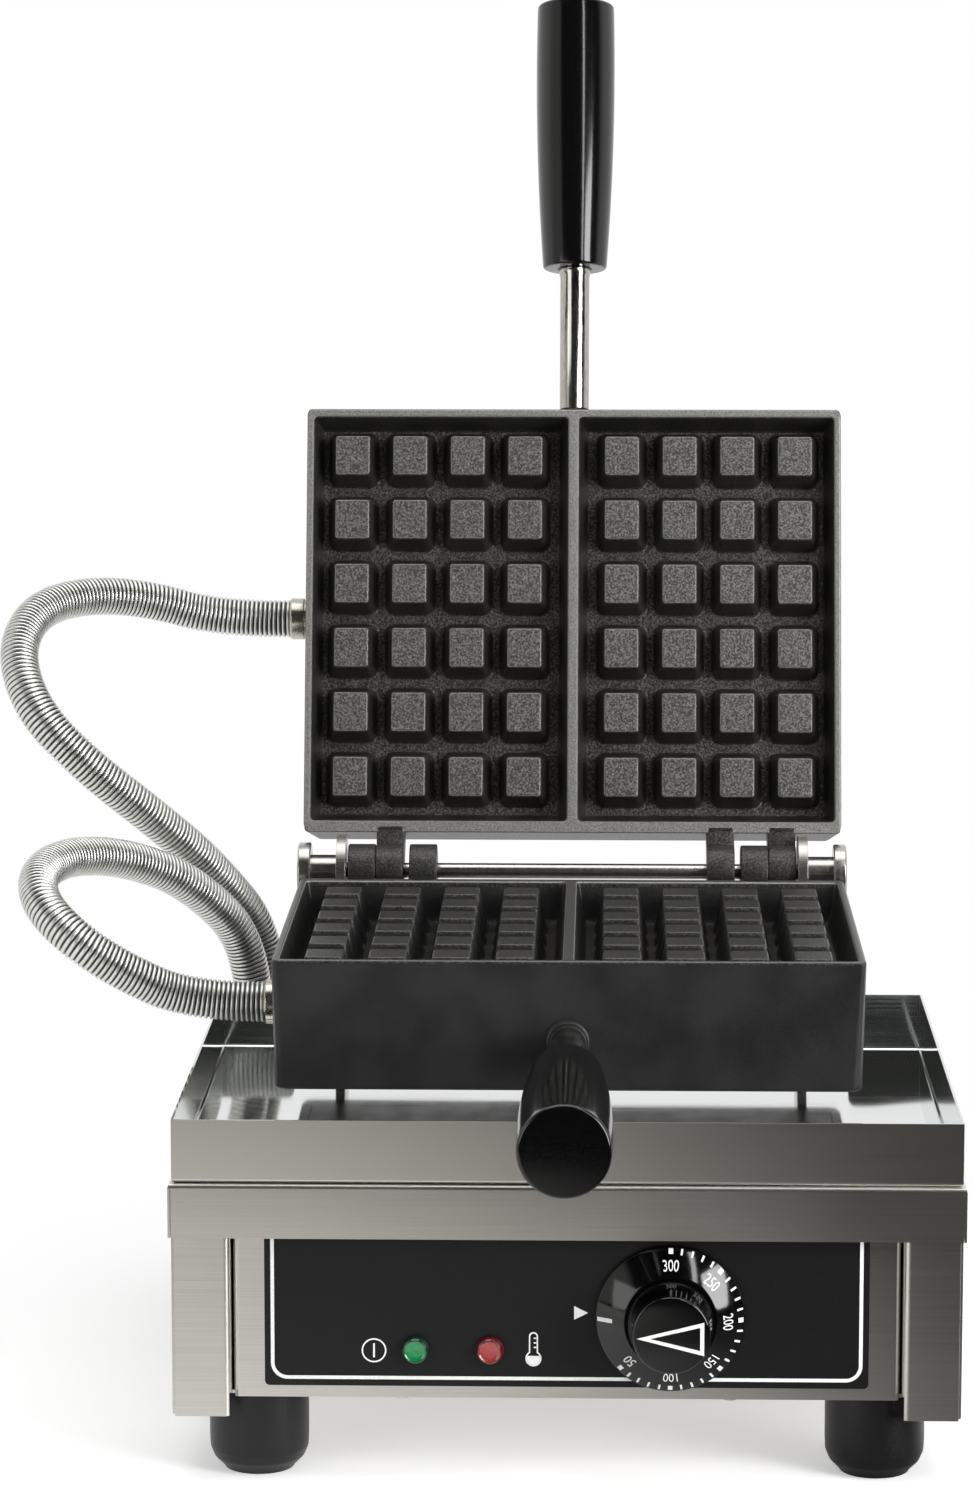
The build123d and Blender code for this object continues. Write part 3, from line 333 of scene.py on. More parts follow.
def bright_metal(name, hex_low, hex_high, rough_low, rough_high, grain_mm, streak=(1, 1, 1),
                 depth_mm=0.003, hex_groove_shade=None):
    """A plated or drawn metal: its colour and polish vary with a grain drawn along the streak. With
    a groove shade colour, it darkens to that where the tone falls to 0: painted shade in grooves."""
    material, tree, where = new_material(name)
    grain = noise(drawn_out(where, streak), grain_mm, 3.0)
    colour = blend_colour(spread(grain, 0.3, 0.7), hex_low, hex_high)
    if hex_groove_shade:
        # Painted shade: the colour darkens towards the groove colour where the tone falls
        crest = spread(tone_of(tree), 0.2, 0.95)
        colour = blend_colour(crest, hex_groove_shade, colour)
    return finished(material, {
        "Base Color": colour,
        "Metallic": 1.0,
        "Roughness": spread(grain, 0.3, 0.7, rough_low, rough_high),
        "Normal": bumped(grain, depth_mm, 0.3),
    })


def moulded(name, hex_low, hex_high, rough_low, rough_high, grain_mm, depth_mm, shine=0.5):
    """A moulded plastic, rubber or fired part: an even colour with a fine grain in its surface."""
    material, _, where = new_material(name)
    grain = noise(where, grain_mm, 3.0)
    return finished(material, {
        "Base Color": blend_colour(spread(grain, 0.3, 0.7), hex_low, hex_high),
        "Roughness": spread(grain, 0.3, 0.7, rough_low, rough_high),
        "Specular IOR Level": shine,
        "Normal": bumped(grain, depth_mm, 0.6),
    })


def tinted_acrylic(name, hex_rim, hex_middle):
    """Dyed acrylic, injection moulded and glossy. The thick rim, at tone 0, is darker than the
    dished middle, at tone 1, which a faint grain clouds."""
    material, tree, where = new_material(name)
    grain = noise(where, 1.5)
    cloud = blend_colour(spread(grain, 0.3, 0.7), hex_middle, hex_rim)
    middle = blend_colour(spread(grain, 0.2, 1.6), hex_middle, cloud)
    return finished(material, {
        "Base Color": blend_colour(tone_of(tree), hex_rim, middle),
        "Roughness": 0.08,
        "IOR": 1.49,
        "Transmission Weight": 0.15,
        "Coat Weight": 0.6,
        "Coat Roughness": 0.03,
    })


iron_finish = seasoned_cast_iron()
band_finish = brushed_stainless("brushed_stainless", "#c3c0ba", "#d1cec8", 0.28)
side_finish = brushed_stainless("brushed_side_sheet", "#b8b5b0", "#c6c3bd", 0.27)
tray_finish = rolled_stainless()
# Chromed steel bar, polished: mirrors, with a faint drawn line along it
rod_finish = bright_metal("chromed_steel", "#a3a09a", "#b9b6b0", 0.1, 0.2, 0.5, (1, 0.1, 0.1))
# Turned and ground steel: a fine ring pattern, a softer mirror
hinge_finish = bright_metal("ground_steel", "#b2b0aa", "#c0beb8", 0.22, 0.26, 0.8,
                            (1, 0.15, 0.15), 0.0003)
# Nickel-plated brass, turned: warm and softly mirrored
fitting_finish = bright_metal("nickel_plated_brass", "#a8a49a", "#c9c5bb", 0.2, 0.3, 0.6)
# Wound strip of galvanised steel: bright, unevenly hazy crests, and grooves darkened by painted
# shade
armour_finish = bright_metal("wound_steel_armour", "#d6d6d1", "#e6e6e2", 0.36, 0.44, 6.0,
                             hex_groove_shade="#4f4f4c")
# Zinc-plated screws: pale, slightly clouded
screw_finish = bright_metal("zinc_plated_steel", "#b4b6b3", "#d0d1cd", 0.24, 0.36, 1.2)
# Heater cover sheets and their screws: steel blued near black by heat
blued_finish = bright_metal("blued_steel_sheet", "#2a2a2c", "#3a393b", 0.35, 0.5, 8.0)
# Drawn copper capillary, dulled by air
copper_finish = bright_metal("drawn_copper", "#8a4f30", "#b8724a", 0.25, 0.4, 1.0)
# Sheathed heater: steel oxidised brown-grey by heat
heater_finish = bright_metal("oxidised_heater_sheath", "#3c3632", "#5c5550", 0.4, 0.55, 1.5)
# Phenolic grips, pressed and polished: deep black with a hard gloss
grip_finish = moulded("polished_phenolic", "#040404", "#090909", 0.1, 0.16, 0.6, 0.003)
# Nitrile rubber feet, moulded: dark, satin, finely pitted
rubber_finish = moulded("moulded_nitrile_rubber", "#090909", "#111111", 0.34, 0.44, 0.8, 0.012,
                        0.35)
# Glass-filled nylon knob, polished tool: glossy black
knob_finish = moulded("glossy_nylon_knob", "#030303", "#060606", 0.07, 0.12, 0.7, 0.002)
# Polyester label film with a fine sand texture: near black, satin
film_finish = moulded("textured_label_film", "#0b0b0b", "#131313", 0.42, 0.55, 0.5, 0.012, 0.25)
# Screen-printed ink: opaque white, thin, satin
ink_finish = moulded("screen_printed_ink", "#dfe0de", "#f0f0ee", 0.4, 0.5, 0.5, 0.004)
# Nylon lamp sockets and cable gland, moulded
socket_finish = moulded("moulded_nylon", "#111111", "#1c1c1c", 0.3, 0.42, 0.8, 0.01)
# Thermostat housing of moulded phenolic, matt
thermostat_finish = moulded("moulded_housing", "#8d8a80", "#a5a298", 0.45, 0.6, 1.0, 0.02)
# Steatite terminal block, glazed
block_finish = moulded("glazed_steatite", "#d5cfbf", "#e6e1d4", 0.15, 0.25, 2.0, 0.01, 0.7)
# Silicone sleeve of the wires, extruded
sleeve_finish = moulded("silicone_sleeve", "#8e2f26", "#a83c30", 0.4, 0.52, 1.0, 0.01)
# Ceramic-fibre board, felted: pale and rough
fibre_finish = moulded("ceramic_fibre_board", "#d9d5c8", "#ece9de", 0.8, 0.95, 1.5, 0.25)
green_finish = tinted_acrylic("green_acrylic", "#02301a", "#0a8a4b")
red_finish = tinted_acrylic("red_acrylic", "#5c0d11", "#a23a3a")


# Shapes

def surface(points, tone=0.0, close_rows=False, close_columns=True):
    """One surface: its points by row and column, its four-sided faces, and a tone at each point.
    Face (i, j) joins (i, j), (i, j + 1), (i + 1, j + 1) and (i + 1, j), counted round where rows
    or columns close."""
    rows, columns = points.shape[:2]
    i, j = np.meshgrid(
        np.arange(rows if close_rows else rows - 1),
        np.arange(columns if close_columns else columns - 1),
        indexing="ij",
    )
    i2, j2 = (i + 1) % rows, (j + 1) % columns
    faces = np.stack([i * columns + j, i * columns + j2, i2 * columns + j2, i2 * columns + j], -1)
    tones = np.broadcast_to(tone, (rows, columns)).reshape(-1).astype(np.float32)
    return points.reshape(-1, 3), faces.reshape(-1, 4), tones


def mesh_of(name, surfaces, letters=(), sharp_deg=38):
    """One mesh in metres from surfaces and letter meshes: shared points merged, faces turned
    outwards, and shaded smooth except at edges sharper than sharp_deg."""
    mesh = bpy.data.meshes.new(name)
    points, faces, tones = zip(*surfaces)
    starts = np.cumsum([0] + [len(part) for part in points])
    faces = np.concatenate([part + start for part, start in zip(faces, starts)])
    points, tones = np.concatenate(points) * MM, np.concatenate(tones)
    mesh.vertices.add(len(points))
    mesh.vertices.foreach_set("co", points.ravel())
    mesh.loops.add(faces.size)
    mesh.loops.foreach_set("vertex_index", faces.ravel())
    mesh.polygons.add(len(faces))
    mesh.polygons.foreach_set("loop_start", np.arange(0, faces.size, 4))
    mesh.update(calc_edges=True)
    mesh.attributes.new("tone", "FLOAT", "POINT").data.foreach_set("value", tones)
    work = bmesh.new()
    work.from_mesh(mesh)
    for letter in letters:
        work.from_mesh(letter)
        bpy.data.meshes.remove(letter)
    bmesh.ops.remove_doubles(work, verts=work.verts, dist=0.002 * MM)
    bmesh.ops.recalc_face_normals(work, faces=work.faces)
    work.to_mesh(mesh)
    work.free()
    mesh.shade_smooth()
    mesh.set_sharp_from_angle(angle=math.radians(sharp_deg))
    return mesh


def piece(name, mesh, body, finish, stands_for=()):
    """A piece on its body, if it has one, material and the nodes it stands for."""
    made = in_scene(name, mesh)
    mesh.materials.append(finish)
    if body:
        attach(made, body)
    if stands_for:
        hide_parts(*stands_for)
    return made


def opened(surfaces):
    """Surfaces of the lower iron on the open upper iron: turned over about the hinge, (x, y, z) to
    (-x, y, -z), and swung back round it by the open angle."""
    c, s = math.cos(-OPEN_ANGLE), math.sin(-OPEN_ANGLE)
    moved = []
    for points, faces, tones in surfaces:
        x, y, z = (points - HINGE).T
        swung = np.stack([-x, y * c + z * s, y * s - z * c], -1)
        moved.append((swung + HINGE, faces, tones))
    return moved


def on_both_irons(name, surfaces, finish, upper=None):
    """The same piece on the lower iron and, swung open, on the upper iron, which may have surfaces
    of its own."""
    for body, placed in (("lower_iron", surfaces), ("upper_iron", opened(upper or surfaces))):
        node = f"{body.split('_')[0]}_{name}"
        piece(node + "_shape", mesh_of(node, placed), body, finish, [node])


def points_of(mesh):
    """A mesh's points, one to a row."""
    points = np.empty(len(mesh.vertices) * 3)
    mesh.vertices.foreach_get("co", points)
    return points.reshape(-1, 3)


def unit(vectors):
    """Vectors along the last axis, each made one long."""
    return vectors / np.linalg.norm(vectors, axis=-1, keepdims=True)


def arc(middle, radius, from_deg, to_deg, count):
    """Points (across, up) of an arc about a middle."""
    angles = np.radians(np.linspace(from_deg, to_deg, count))
    return middle + radius * np.stack([np.cos(angles), np.sin(angles)], -1)


def eased(corners, steps=6):
    """A profile through corners (along, out, radius). A corner with a radius is cut back on both
    runs by radius / tan(half its angle), and a true arc, as a weighted quadratic, fills the cut."""
    runs = [np.array([corners[0][:2]], float)]
    t = np.linspace(0, 1, steps + 1)[:, None]
    for before, here, after in zip(corners, corners[1:], corners[2:]):
        point = np.array(here[:2], float)
        if len(here) < 3:
            runs.append(point[None])
            continue
        back, ahead = unit(np.array(before[:2]) - point), unit(np.array(after[:2]) - point)
        half = math.acos(np.clip(back @ ahead, -1, 1)) / 2
        cut, weight = here[2] / math.tan(half), math.sin(half)
        first, middle, last = (1 - t) ** 2, 2 * t * (1 - t) * weight, t ** 2
        bend = first * (point + back * cut) + middle * point + last * (point + ahead * cut)
        runs.append(bend / (first + middle + last))
    runs.append(np.array([corners[-1][:2]], float))
    return np.concatenate(runs)


def turned(profile, start, axis, sides=72, flats=None, tone=0.0):
    """A turned surface: a profile point (along, out) goes to start + along * axis + out * ring,
    where ring goes once round the axis. With flats, a six-sided one of that half width, out is
    held to the flats: at most flats / cos(angle from the middle of the nearest flat)."""
    axis = unit(np.array(axis, float))
    u = unit(np.cross(axis, (0, 0, 1) if abs(axis[2]) < 0.9 else (1, 0, 0)))
    angles = np.linspace(0, 2 * math.pi, sides, endpoint=False)[:, None]
    ring = np.cos(angles) * u + np.sin(angles) * np.cross(axis, u)
    out = np.broadcast_to(profile[:, 1, None], (len(profile), sides))
    if flats:
        off_flat = (angles[:, 0] + math.pi / 6) % (math.pi / 3) - math.pi / 6
        out = np.minimum(out, flats / np.cos(off_flat))
    points = np.array(start, float) + profile[:, 0, None, None] * axis + out[..., None] * ring
    return surface(points, tone)


def rod(start, axis, radius, length, sides=32):
    """A plain round bar with flat ends."""
    profile = np.array([(0, 0), (0, radius), (length, radius), (length, 0)], float)
    return turned(profile, start, axis, sides)


def capped(rings):
    """A tube's rings with both of its ends closed on their middles."""
    ends = [np.broadcast_to(rings[k].mean(0), (1, *rings.shape[1:])) for k in (0, -1)]
    return np.concatenate([ends[0], rings, ends[1]])


def slab(outline, low, high, edge, tone=0.0):
    """A closed outline (y, z) carried from low to high along X, its two rims rounded: at an angle t
    a ring stands edge * (1 - sin t) from its end and edge * (1 - cos t) inside the outline. The
    ends close on the outline's middle."""
    ahead, back = np.roll(outline, -1, 0), np.roll(outline, 1, 0)
    tangent = unit(unit(ahead - outline) + unit(outline - back))
    outward = np.stack([tangent[:, 1], -tangent[:, 0]], -1)
    t = np.linspace(0, math.pi / 2, 4)
    from_end, inset = edge * (1 - np.sin(t)), edge * (1 - np.cos(t))
    steps = [*zip(low + from_end[::-1], inset[::-1]), *zip(high - from_end, inset)]
    rings = [np.concatenate([np.full((len(outline), 1), x), outline - outward * inwards], -1)
             for x, inwards in steps]
    ends = [np.broadcast_to((x, *outline.mean(0)), (len(outline), 3)) for x in (low, high)]
    return surface(np.stack([ends[0], *rings, ends[1]]), tone)


def dressed(node, finish, edge=0.15, suffix="_sheet"):
    """A copy of a CAD node with its points merged and its flat faces joined: smooth bends, and
    every sharp corner rounded by edge millimetres."""
    source = nodes[node]
    flat = math.radians(0.5)
    work = bmesh.new()
    work.from_mesh(source.data)
    bmesh.ops.remove_doubles(work, verts=work.verts, dist=0.001 * MM)
    bmesh.ops.dissolve_limit(work, angle_limit=flat, verts=work.verts, edges=work.edges)
    mesh = bpy.data.meshes.new(node + suffix)
    work.to_mesh(mesh)
    work.free()
    if "custom_normal" in mesh.attributes:
        mesh.attributes.remove(mesh.attributes["custom_normal"])
    mesh.shade_smooth()
    mesh.set_sharp_from_angle(angle=math.radians(30))
    made = piece(node + suffix, mesh, source["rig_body"], finish, [node])
    if edge:
        rounding = made.modifiers.new("edge", "BEVEL")
        rounding.width = edge * MM
        rounding.segments = 2
        rounding.angle_limit = math.radians(50)
        rounding.harden_normals = True


# Armoured hoses. Their routes are in metres, from their glands to their ferrules.

HOSE_D, HOSE_ROOT_D, RIB_PITCH = 17.3, 15.4, 2.14
# Where the rings of one pitch stand, and the middle and half width of its rib, as shares of it
RIB_RINGS = np.array((0.0, 0.14, 0.24, 0.4, 0.56, 0.72, 0.88))
RIB_MIDDLE, RIB_HALF = 0.57, 0.43
upper_route = (
    (-0.1395, 0.15833, 0.136),
    (-0.1395, 0.15833, 0.1676),
    (-0.1645, 0.131, 0.206),
    (-0.189, 0.111, 0.2315),
    (-0.215, 0.098, 0.255),
    (-0.2395, 0.101, 0.279),
    (-0.2505, 0.121, 0.303),
    (-0.2445, 0.149, 0.3195),
    (-0.2235, 0.172, 0.324),
    (-0.196, 0.187, 0.3205),
    (-0.164, 0.193745, 0.31043),
    (-0.13085, 0.193745, 0.31043),
)
lower_route = (
    (-0.145, 0.13533, 0.136),
    (-0.145, 0.13533, 0.168),
    (-0.17, 0.109, 0.201),
    (-0.196, 0.087, 0.216),
    (-0.219, 0.0605, 0.222),
    (-0.231, 0.0345, 0.219),
    (-0.228, 0.0105, 0.21),
    (-0.213, -0.0015, 0.197),
    (-0.192, 0.001, 0.182),
    (-0.163, 0.009226, 0.1671),
    (-0.13085, 0.009226, 0.1671),
)


def line_through(route):
    """The points in millimetres of a smooth NURBS line with the route as its control points."""
    curve = bpy.data.curves.new("route", "CURVE")
    curve.dimensions = "3D"
    curve.resolution_u = 40
    spline = curve.splines.new("NURBS")
    spline.points.add(len(route) - 1)
    for point, place in zip(spline.points, route):
        point.co = (*place, 1)
    spline.order_u = 3
    spline.use_endpoint_u = True
    made = in_scene("route", curve)
    mesh = bpy.data.meshes.new_from_object(made)
    points = points_of(mesh)
    bpy.data.objects.remove(made)
    bpy.data.meshes.remove(mesh)
    return points / MM


def hose_parts(route, shares):
    """An armoured hose along its route, cut at grooves near the given shares of its length. Rings
    stand square to the line. Within each pitch the radius is the root's up to 0.14, and then
    arches up by the square root of one minus the squared distance from the rib's middle, counted
    in half ribs. Each part is its surface, and its path and length in metres."""
    line = line_through(route)
    reach = np.append(0, np.cumsum(np.linalg.norm(np.diff(line, axis=0), axis=1)))
    ribs = round(reach[-1] / RIB_PITCH)
    pitch = reach[-1] / ribs
    cuts = [round(share * ribs) for share in shares]
    parts = []
    for first, last in zip(cuts, cuts[1:]):
        turns = np.append((np.arange(first, last)[:, None] + RIB_RINGS).ravel(), last)
        path, ahead, behind = (
            np.stack([np.interp(turns * pitch + step, reach, line[:, k]) for k in range(3)], -1)
            for step in (0, 1, -1)
        )
        tangent = unit(ahead - behind)
        across = np.array((1.0, -1.0, 1.0))
        u = unit(across - (tangent @ across)[:, None] * tangent)
        v = np.cross(tangent, u)
        off_middle = np.clip(np.abs(turns % 1 - RIB_MIDDLE) / RIB_HALF, 0, 1)
        crest = np.sqrt(1 - off_middle ** 2)
        radius = HOSE_ROOT_D / 2 + (HOSE_D - HOSE_ROOT_D) / 2 * crest
        angles = np.linspace(0, 2 * math.pi, 28, endpoint=False)
        ring = np.cos(angles)[:, None, None] * u + np.sin(angles)[:, None, None] * v
        points = capped((path + radius[:, None] * ring).transpose(1, 0, 2))
        # The tone is 1 on the crests and 0 in the grooves, where the armour's painted shade falls
        tone = np.concatenate([[0], crest, [0]])[:, None]
        parts.append((surface(points, tone), path * MM, (last - first) * pitch * MM))
    return parts


def hang_hose(name, part, node):
    """One hose part as a piece of its own, on no body, with its points put in world space."""
    shape, path, length = part
    mesh = mesh_of(name, [shape], sharp_deg=70)
    made = piece(name, mesh, None, armour_finish, [node])
    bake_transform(made)


# Each hose is made in parts cut at grooves: the lower one whole, the upper one cut near 0.28 of its
# length
lower_hose = hose_parts(lower_route, (0, 1))[0]
hang_hose("lower_hose_armour", lower_hose,
          "lower_hose")
from_gland, to_ferrule = hose_parts(upper_route, (0, 0.28, 1))
hang_hose("upper_hose_armour_base_part", from_gland,
          "upper_hose")
hang_hose("upper_hose_armour_iron_part", to_ferrule,
          "upper_hose")


# Cast irons

def box_distance(x, y, half, corner_r):
    """Distance from a rectangle with rounded corners about the origin, negative inside it."""
    qx, qy = np.abs(x) - half[0] + corner_r, np.abs(y) - half[1] + corner_r
    outside = np.hypot(np.maximum(qx, 0), np.maximum(qy, 0))
    return outside + np.minimum(np.maximum(qx, qy), 0) - corner_r


def soft_min(a, b, width):
    """The lower of two heights, rounded over where they are within width of each other."""
    share = np.clip(0.5 + 0.5 * (b - a) / width, 0, 1)
    return b * (1 - share) + a * share - width * share * (1 - share)


def peg_and_wall(x, y):
    """Distance out from the nearest peg top's edge, and distance in from its cavity's edge."""
    inside = -box_distance(np.abs(x) - CAVITY_X, y - CAVITY_Y, CAVITY_HALF, CAVITY_CORNER_R)
    from_first = np.stack([np.abs(x) - PEG_X, y - PEG_Y], -1) / PEG_PITCH + (PEG_COUNT - 1) / 2
    nearest = np.clip(np.round(from_first), 0, PEG_COUNT - 1)
    off_x, off_y = np.moveaxis((from_first - nearest) * PEG_PITCH, -1, 0)
    return box_distance(off_x, off_y, PEG_HALF, PEG_CORNER_R), inside


def waffle_height(x, y):
    """Height over the rim plane of one waffle face. Inside each cavity's outline the wall falls by
    depth / draft per millimetre to the floor; from the floor each peg rises by the same rule to a
    top just under the rim; and both feet and both edges are rounded by soft_min."""
    out, inside = peg_and_wall(x, y)
    bowl = -soft_min(CAVITY_DEPTH / CAVITY_DRAFT * inside, CAVITY_DEPTH, FLOOR_ROUNDING)
    slope = (CAVITY_DEPTH - PEG_RECESS) / PEG_DRAFT
    peg = soft_min(-PEG_RECESS, -PEG_RECESS - slope * out, PEG_ROUNDING)
    face = -soft_min(-bowl, -peg, FOOT_ROUNDING)
    return soft_min(0.0, face, RIM_ROUNDING)


def face_tone(height, out, inside):
    """How worn the iron is, with painted highlights: 0.85 on the rim, 0.7 on peg tops, 0.3 on the
    floors, 0.12 on the walls between, and more along the very edges of pegs and cavities, a
    painted highlight for light caught there as well as worn metal."""
    heights = (-CAVITY_DEPTH, -CAVITY_DEPTH + 2.2, -1.6, -0.9)
    level = np.interp(height, heights, (0.3, 0.12, 0.12, 0.7))
    level = np.where(inside < 0.15, 0.85, level)
    # Painted highlights along peg-top edges and cavity edges, partly worn metal
    level = level + 0.35 * np.exp(-((out + 0.15) / 0.3) ** 2)
    return level + 0.3 * np.exp(-((inside - 0.1) / 0.25) ** 2)


# Grid lines across one wall, out from a peg top's edge
ACROSS_WALL = np.array((
    -2.6, -1.0, -0.6, -0.3, 0, 0.3, 0.6, 1.0, 1.6, 2.2, 2.7, 3.1, 3.5, 3.9, 4.5,
))


def steps_along(axis, limit):
    """Where the face's grid lines run along X (0) or Y (1): close together across every wall,
    edge and foot, and wide apart on the flats, out to the limit."""
    sides = np.array((-1, 1))[:, None]
    pegs = (np.arange(PEG_COUNT[axis]) - (PEG_COUNT[axis] - 1) / 2) * PEG_PITCH[axis]
    peg_walls = (pegs[:, None, None] + sides * (PEG_HALF[axis] + ACROSS_WALL)).ravel()
    rim_walls = (sides * (CAVITY_HALF[axis] - ACROSS_WALL[1:])).ravel()
    if axis == 0:
        right = np.concatenate([PEG_X + peg_walls, PEG_X + pegs, CAVITY_X + rim_walls])
        lines = np.concatenate([-right, right, (0.0, -1.2, 1.2)])
    else:
        lines = np.concatenate([PEG_Y + peg_walls, PEG_Y + pegs, CAVITY_Y + rim_walls]) - IRON_MID_Y
    lines = np.sort(np.append(lines[np.abs(lines) < limit - 0.3], (-limit, limit)))
    return lines[np.append(True, np.diff(lines) > 0.12)]


def iron_face():
    """The face's grid of points, its corners pulled in to the rounded outline: a corner point
    (u, v) of a unit square goes to (u, v) * max(u, v) / hypot(u, v)."""
    limit = IRON_HALF - RIM_EDGE_R
    x, y = np.meshgrid(steps_along(0, limit[0]), steps_along(1, limit[1]), indexing="ij")
    corner_r = IRON_CORNER_R - RIM_EDGE_R
    u = np.maximum(np.abs(x) - limit[0] + corner_r, 0) / corner_r
    v = np.maximum(np.abs(y) - limit[1] + corner_r, 0) / corner_r
    pull = np.where((u > 0) & (v > 0), np.maximum(u, v) / np.maximum(np.hypot(u, v), 1e-9), 1)
    x = np.sign(x) * (np.minimum(np.abs(x), limit[0] - corner_r) + u * pull * corner_r)
    y = np.sign(y) * (np.minimum(np.abs(y), limit[1] - corner_r) + v * pull * corner_r)
    height = waffle_height(x, y + IRON_MID_Y)
    points = np.stack([x, y + IRON_MID_Y, RIM_Z + height], -1)
    return x, y, points, face_tone(height, *peg_and_wall(x, y + IRON_MID_Y))


def iron_block():
    """The face with its outer walls: rings of its edge loop, each put on the outline that is inset
    by some millimetres at its depth, down the drafted wall, round the back edge and into the
    cover's recess and the chamber."""
    x, y, face, tone = iron_face()
    edge = np.stack([
        np.concatenate([grid[:-1, 0], grid[-1, :-1], grid[:0:-1, -1], grid[0, :0:-1]])
        for grid in (x, y)
    ], -1)
    core = IRON_HALF - IRON_CORNER_R
    share = np.clip(edge / core, -1, 1)
    normal = unit(np.sign(edge) * np.maximum(np.abs(edge) - core, 0))
    wall_end = IRON_DEPTH - IRON_BACK_R
    wall_inset = IRON_DRAFT * wall_end / IRON_DEPTH
    rim_edge = eased([(-RIM_EDGE_R, 0), (0, 0, RIM_EDGE_R), (-wall_inset, -wall_end)], 4)
    back_edge = eased([
        (-wall_inset, -wall_end), (-IRON_DRAFT, -IRON_DEPTH, IRON_BACK_R - 0.4),
        (-BACK_COVER_EDGE, -IRON_DEPTH),
    ], 6)
    wall = np.array((0.03, 0.1, 0.2, 0.4, 0.6, 0.8))[:, None] * (-wall_inset, -wall_end)
    # The corners' radius grows with the inset, from the rim to the cover's edge
    insets, corners = (-BACK_COVER_EDGE, -IRON_DRAFT, 0), (CHAMBER_R, BACK_CORNER_R, IRON_CORNER_R)
    rings = [(out, np.interp(out, insets, corners), depth)
             for out, depth in np.concatenate([rim_edge[:-1], wall, back_edge])]
    cover_seat = BACK_COVER_THICKNESS - IRON_DEPTH
    rings += [(-BACK_COVER_EDGE, CHAMBER_R, cover_seat), (-CHAMBER_EDGE, CHAMBER_R, cover_seat),
              (-CHAMBER_EDGE, CHAMBER_R, -CHAMBER_DEPTH)]
    points = [np.insert(share * (IRON_HALF + out - r) + normal * r, 2, depth, axis=1)
              for out, r, depth in rings]
    points.append(np.broadcast_to((0.0, 0.0, -CHAMBER_DEPTH), (len(edge), 3)))
    points = np.stack(points)
    # The outer rim edge, down to 1.2 mm below the rim, gets a raised tone: a painted highlight,
    # partly worn metal
    worn_and_lit_edge = np.clip(1 + points[:, :1, 2] / 1.2, 0, 1)
    sides = surface(points + (0, IRON_MID_Y, RIM_Z), worn_and_lit_edge)
    return [surface(face, tone, close_columns=False), sides]


def hinge_lug(x):
    """A hinge eye with its web: the eye's arc from straight under the pin round the back to the rim
    plane, and then the web's corners to the iron's rear wall, carried across the lug's width."""
    below_pin = math.degrees(math.asin((HINGE[2] - RIM_Z) / LUG_R))
    eye = arc(HINGE[1:], LUG_R, -90, 180 + below_pin, 34)
    into_wall = IRON_REAR_Y - WEB_IN_WALL
    low = HINGE[2] - WEB_DROP
    chamfer = IRON_REAR_Y - WEB_CHAMFER, low - WEB_CHAMFER
    outline = np.concatenate([eye, [(into_wall, RIM_Z), (into_wall, low), chamfer]])
    return slab(outline, x - LUG_WIDTH / 2, x + LUG_WIDTH / 2, LUG_EDGE_R, tone=0.18)


boss_profile = eased([(0, 0), (0, 9.6), (3.2, 9.6), (3.2, 7.75, 1.4), (8.0, 7.75, 0.5), (8.0, 0)])
boss = turned(boss_profile, (0, IRON_FRONT_Y + 3, HANDLE_Z), (0, -1, 0), sides=56)
iron_shapes = [*iron_block(), *(hinge_lug(x) for x in LOWER_LUGS_X), boss]
on_both_irons("iron_casting", iron_shapes, iron_finish)


# Handles and hinge

GRIP_LENGTH = 124.8
ROD_SHOWN = 72.0
ROD_IN_GRIP = 60.0
from_outer = np.linspace(0, GRIP_LENGTH, 40)
grip_radius = 17.85 + 0.02597 * from_outer - 0.0004071 * from_outer ** 2
barrel = list(zip(from_outer[2:-2], grip_radius[2:-2]))
grip_profile = eased([
    (0, 0), (0, grip_radius[0], 1.6), *barrel, (GRIP_LENGTH, grip_radius[-1], 1.3),
    (GRIP_LENGTH, 8.2), (GRIP_LENGTH - 1.2, 7.4), (GRIP_LENGTH - 1.2, 0),
], 8)
grip_outer_y = IRON_FRONT_Y - ROD_SHOWN - GRIP_LENGTH
grip = turned(grip_profile, (0, grip_outer_y, HANDLE_Z), (0, 1, 0), sides=96)
on_both_irons("handle_grip", [grip], grip_finish)

rod_profile = eased([
    (0, 0), (0, 6.8, 0.5), (60, 6.8), (60.4, 7.15), (63.2, 7.15), (63.8, 6.8), (126.4, 6.8, 0.3),
    (127, 6.2), (127, 0),
])
rod_outer_y = IRON_FRONT_Y - (ROD_SHOWN + ROD_IN_GRIP)
handle_rod = turned(rod_profile, (0, rod_outer_y, HANDLE_Z), (0, 1, 0), sides=64)
thread = rod((0, IRON_FRONT_Y - 5.5, HANDLE_Z), (0, 1, 0), 5, 16)
on_both_irons("handle_rod", [handle_rod, thread], rod_finish)

ferrule_profile = eased([
    (-0.4, 0), (-0.4, 9.5), (1.6, 9.5, 0.4), (1.9, 8.9, 0.2), (2.4, 8.9, 0.2), (2.7, 9.5, 0.4),
    (8.3, 9.5, 0.6), (9, 8.9), (9, 0),
], 3)
NIPPLE_DEPTH = 8.5


def ferrule(side):
    """The ferrule on the lower iron's left (-1) or right (1) side, with its nipple in the wall."""
    at_wall, in_wall = ((side * x, FITTING_Y, FITTING_Z)
                        for x in (IRON_HALF[0], IRON_HALF[0] - NIPPLE_DEPTH))
    return [turned(ferrule_profile, at_wall, (side, 0, 0), sides=48),
            rod(in_wall, (side, 0, 0), 6, NIPPLE_DEPTH + 0.5, sides=48)]


on_both_irons("hose_ferrule", ferrule(-1), fitting_finish, ferrule(1))

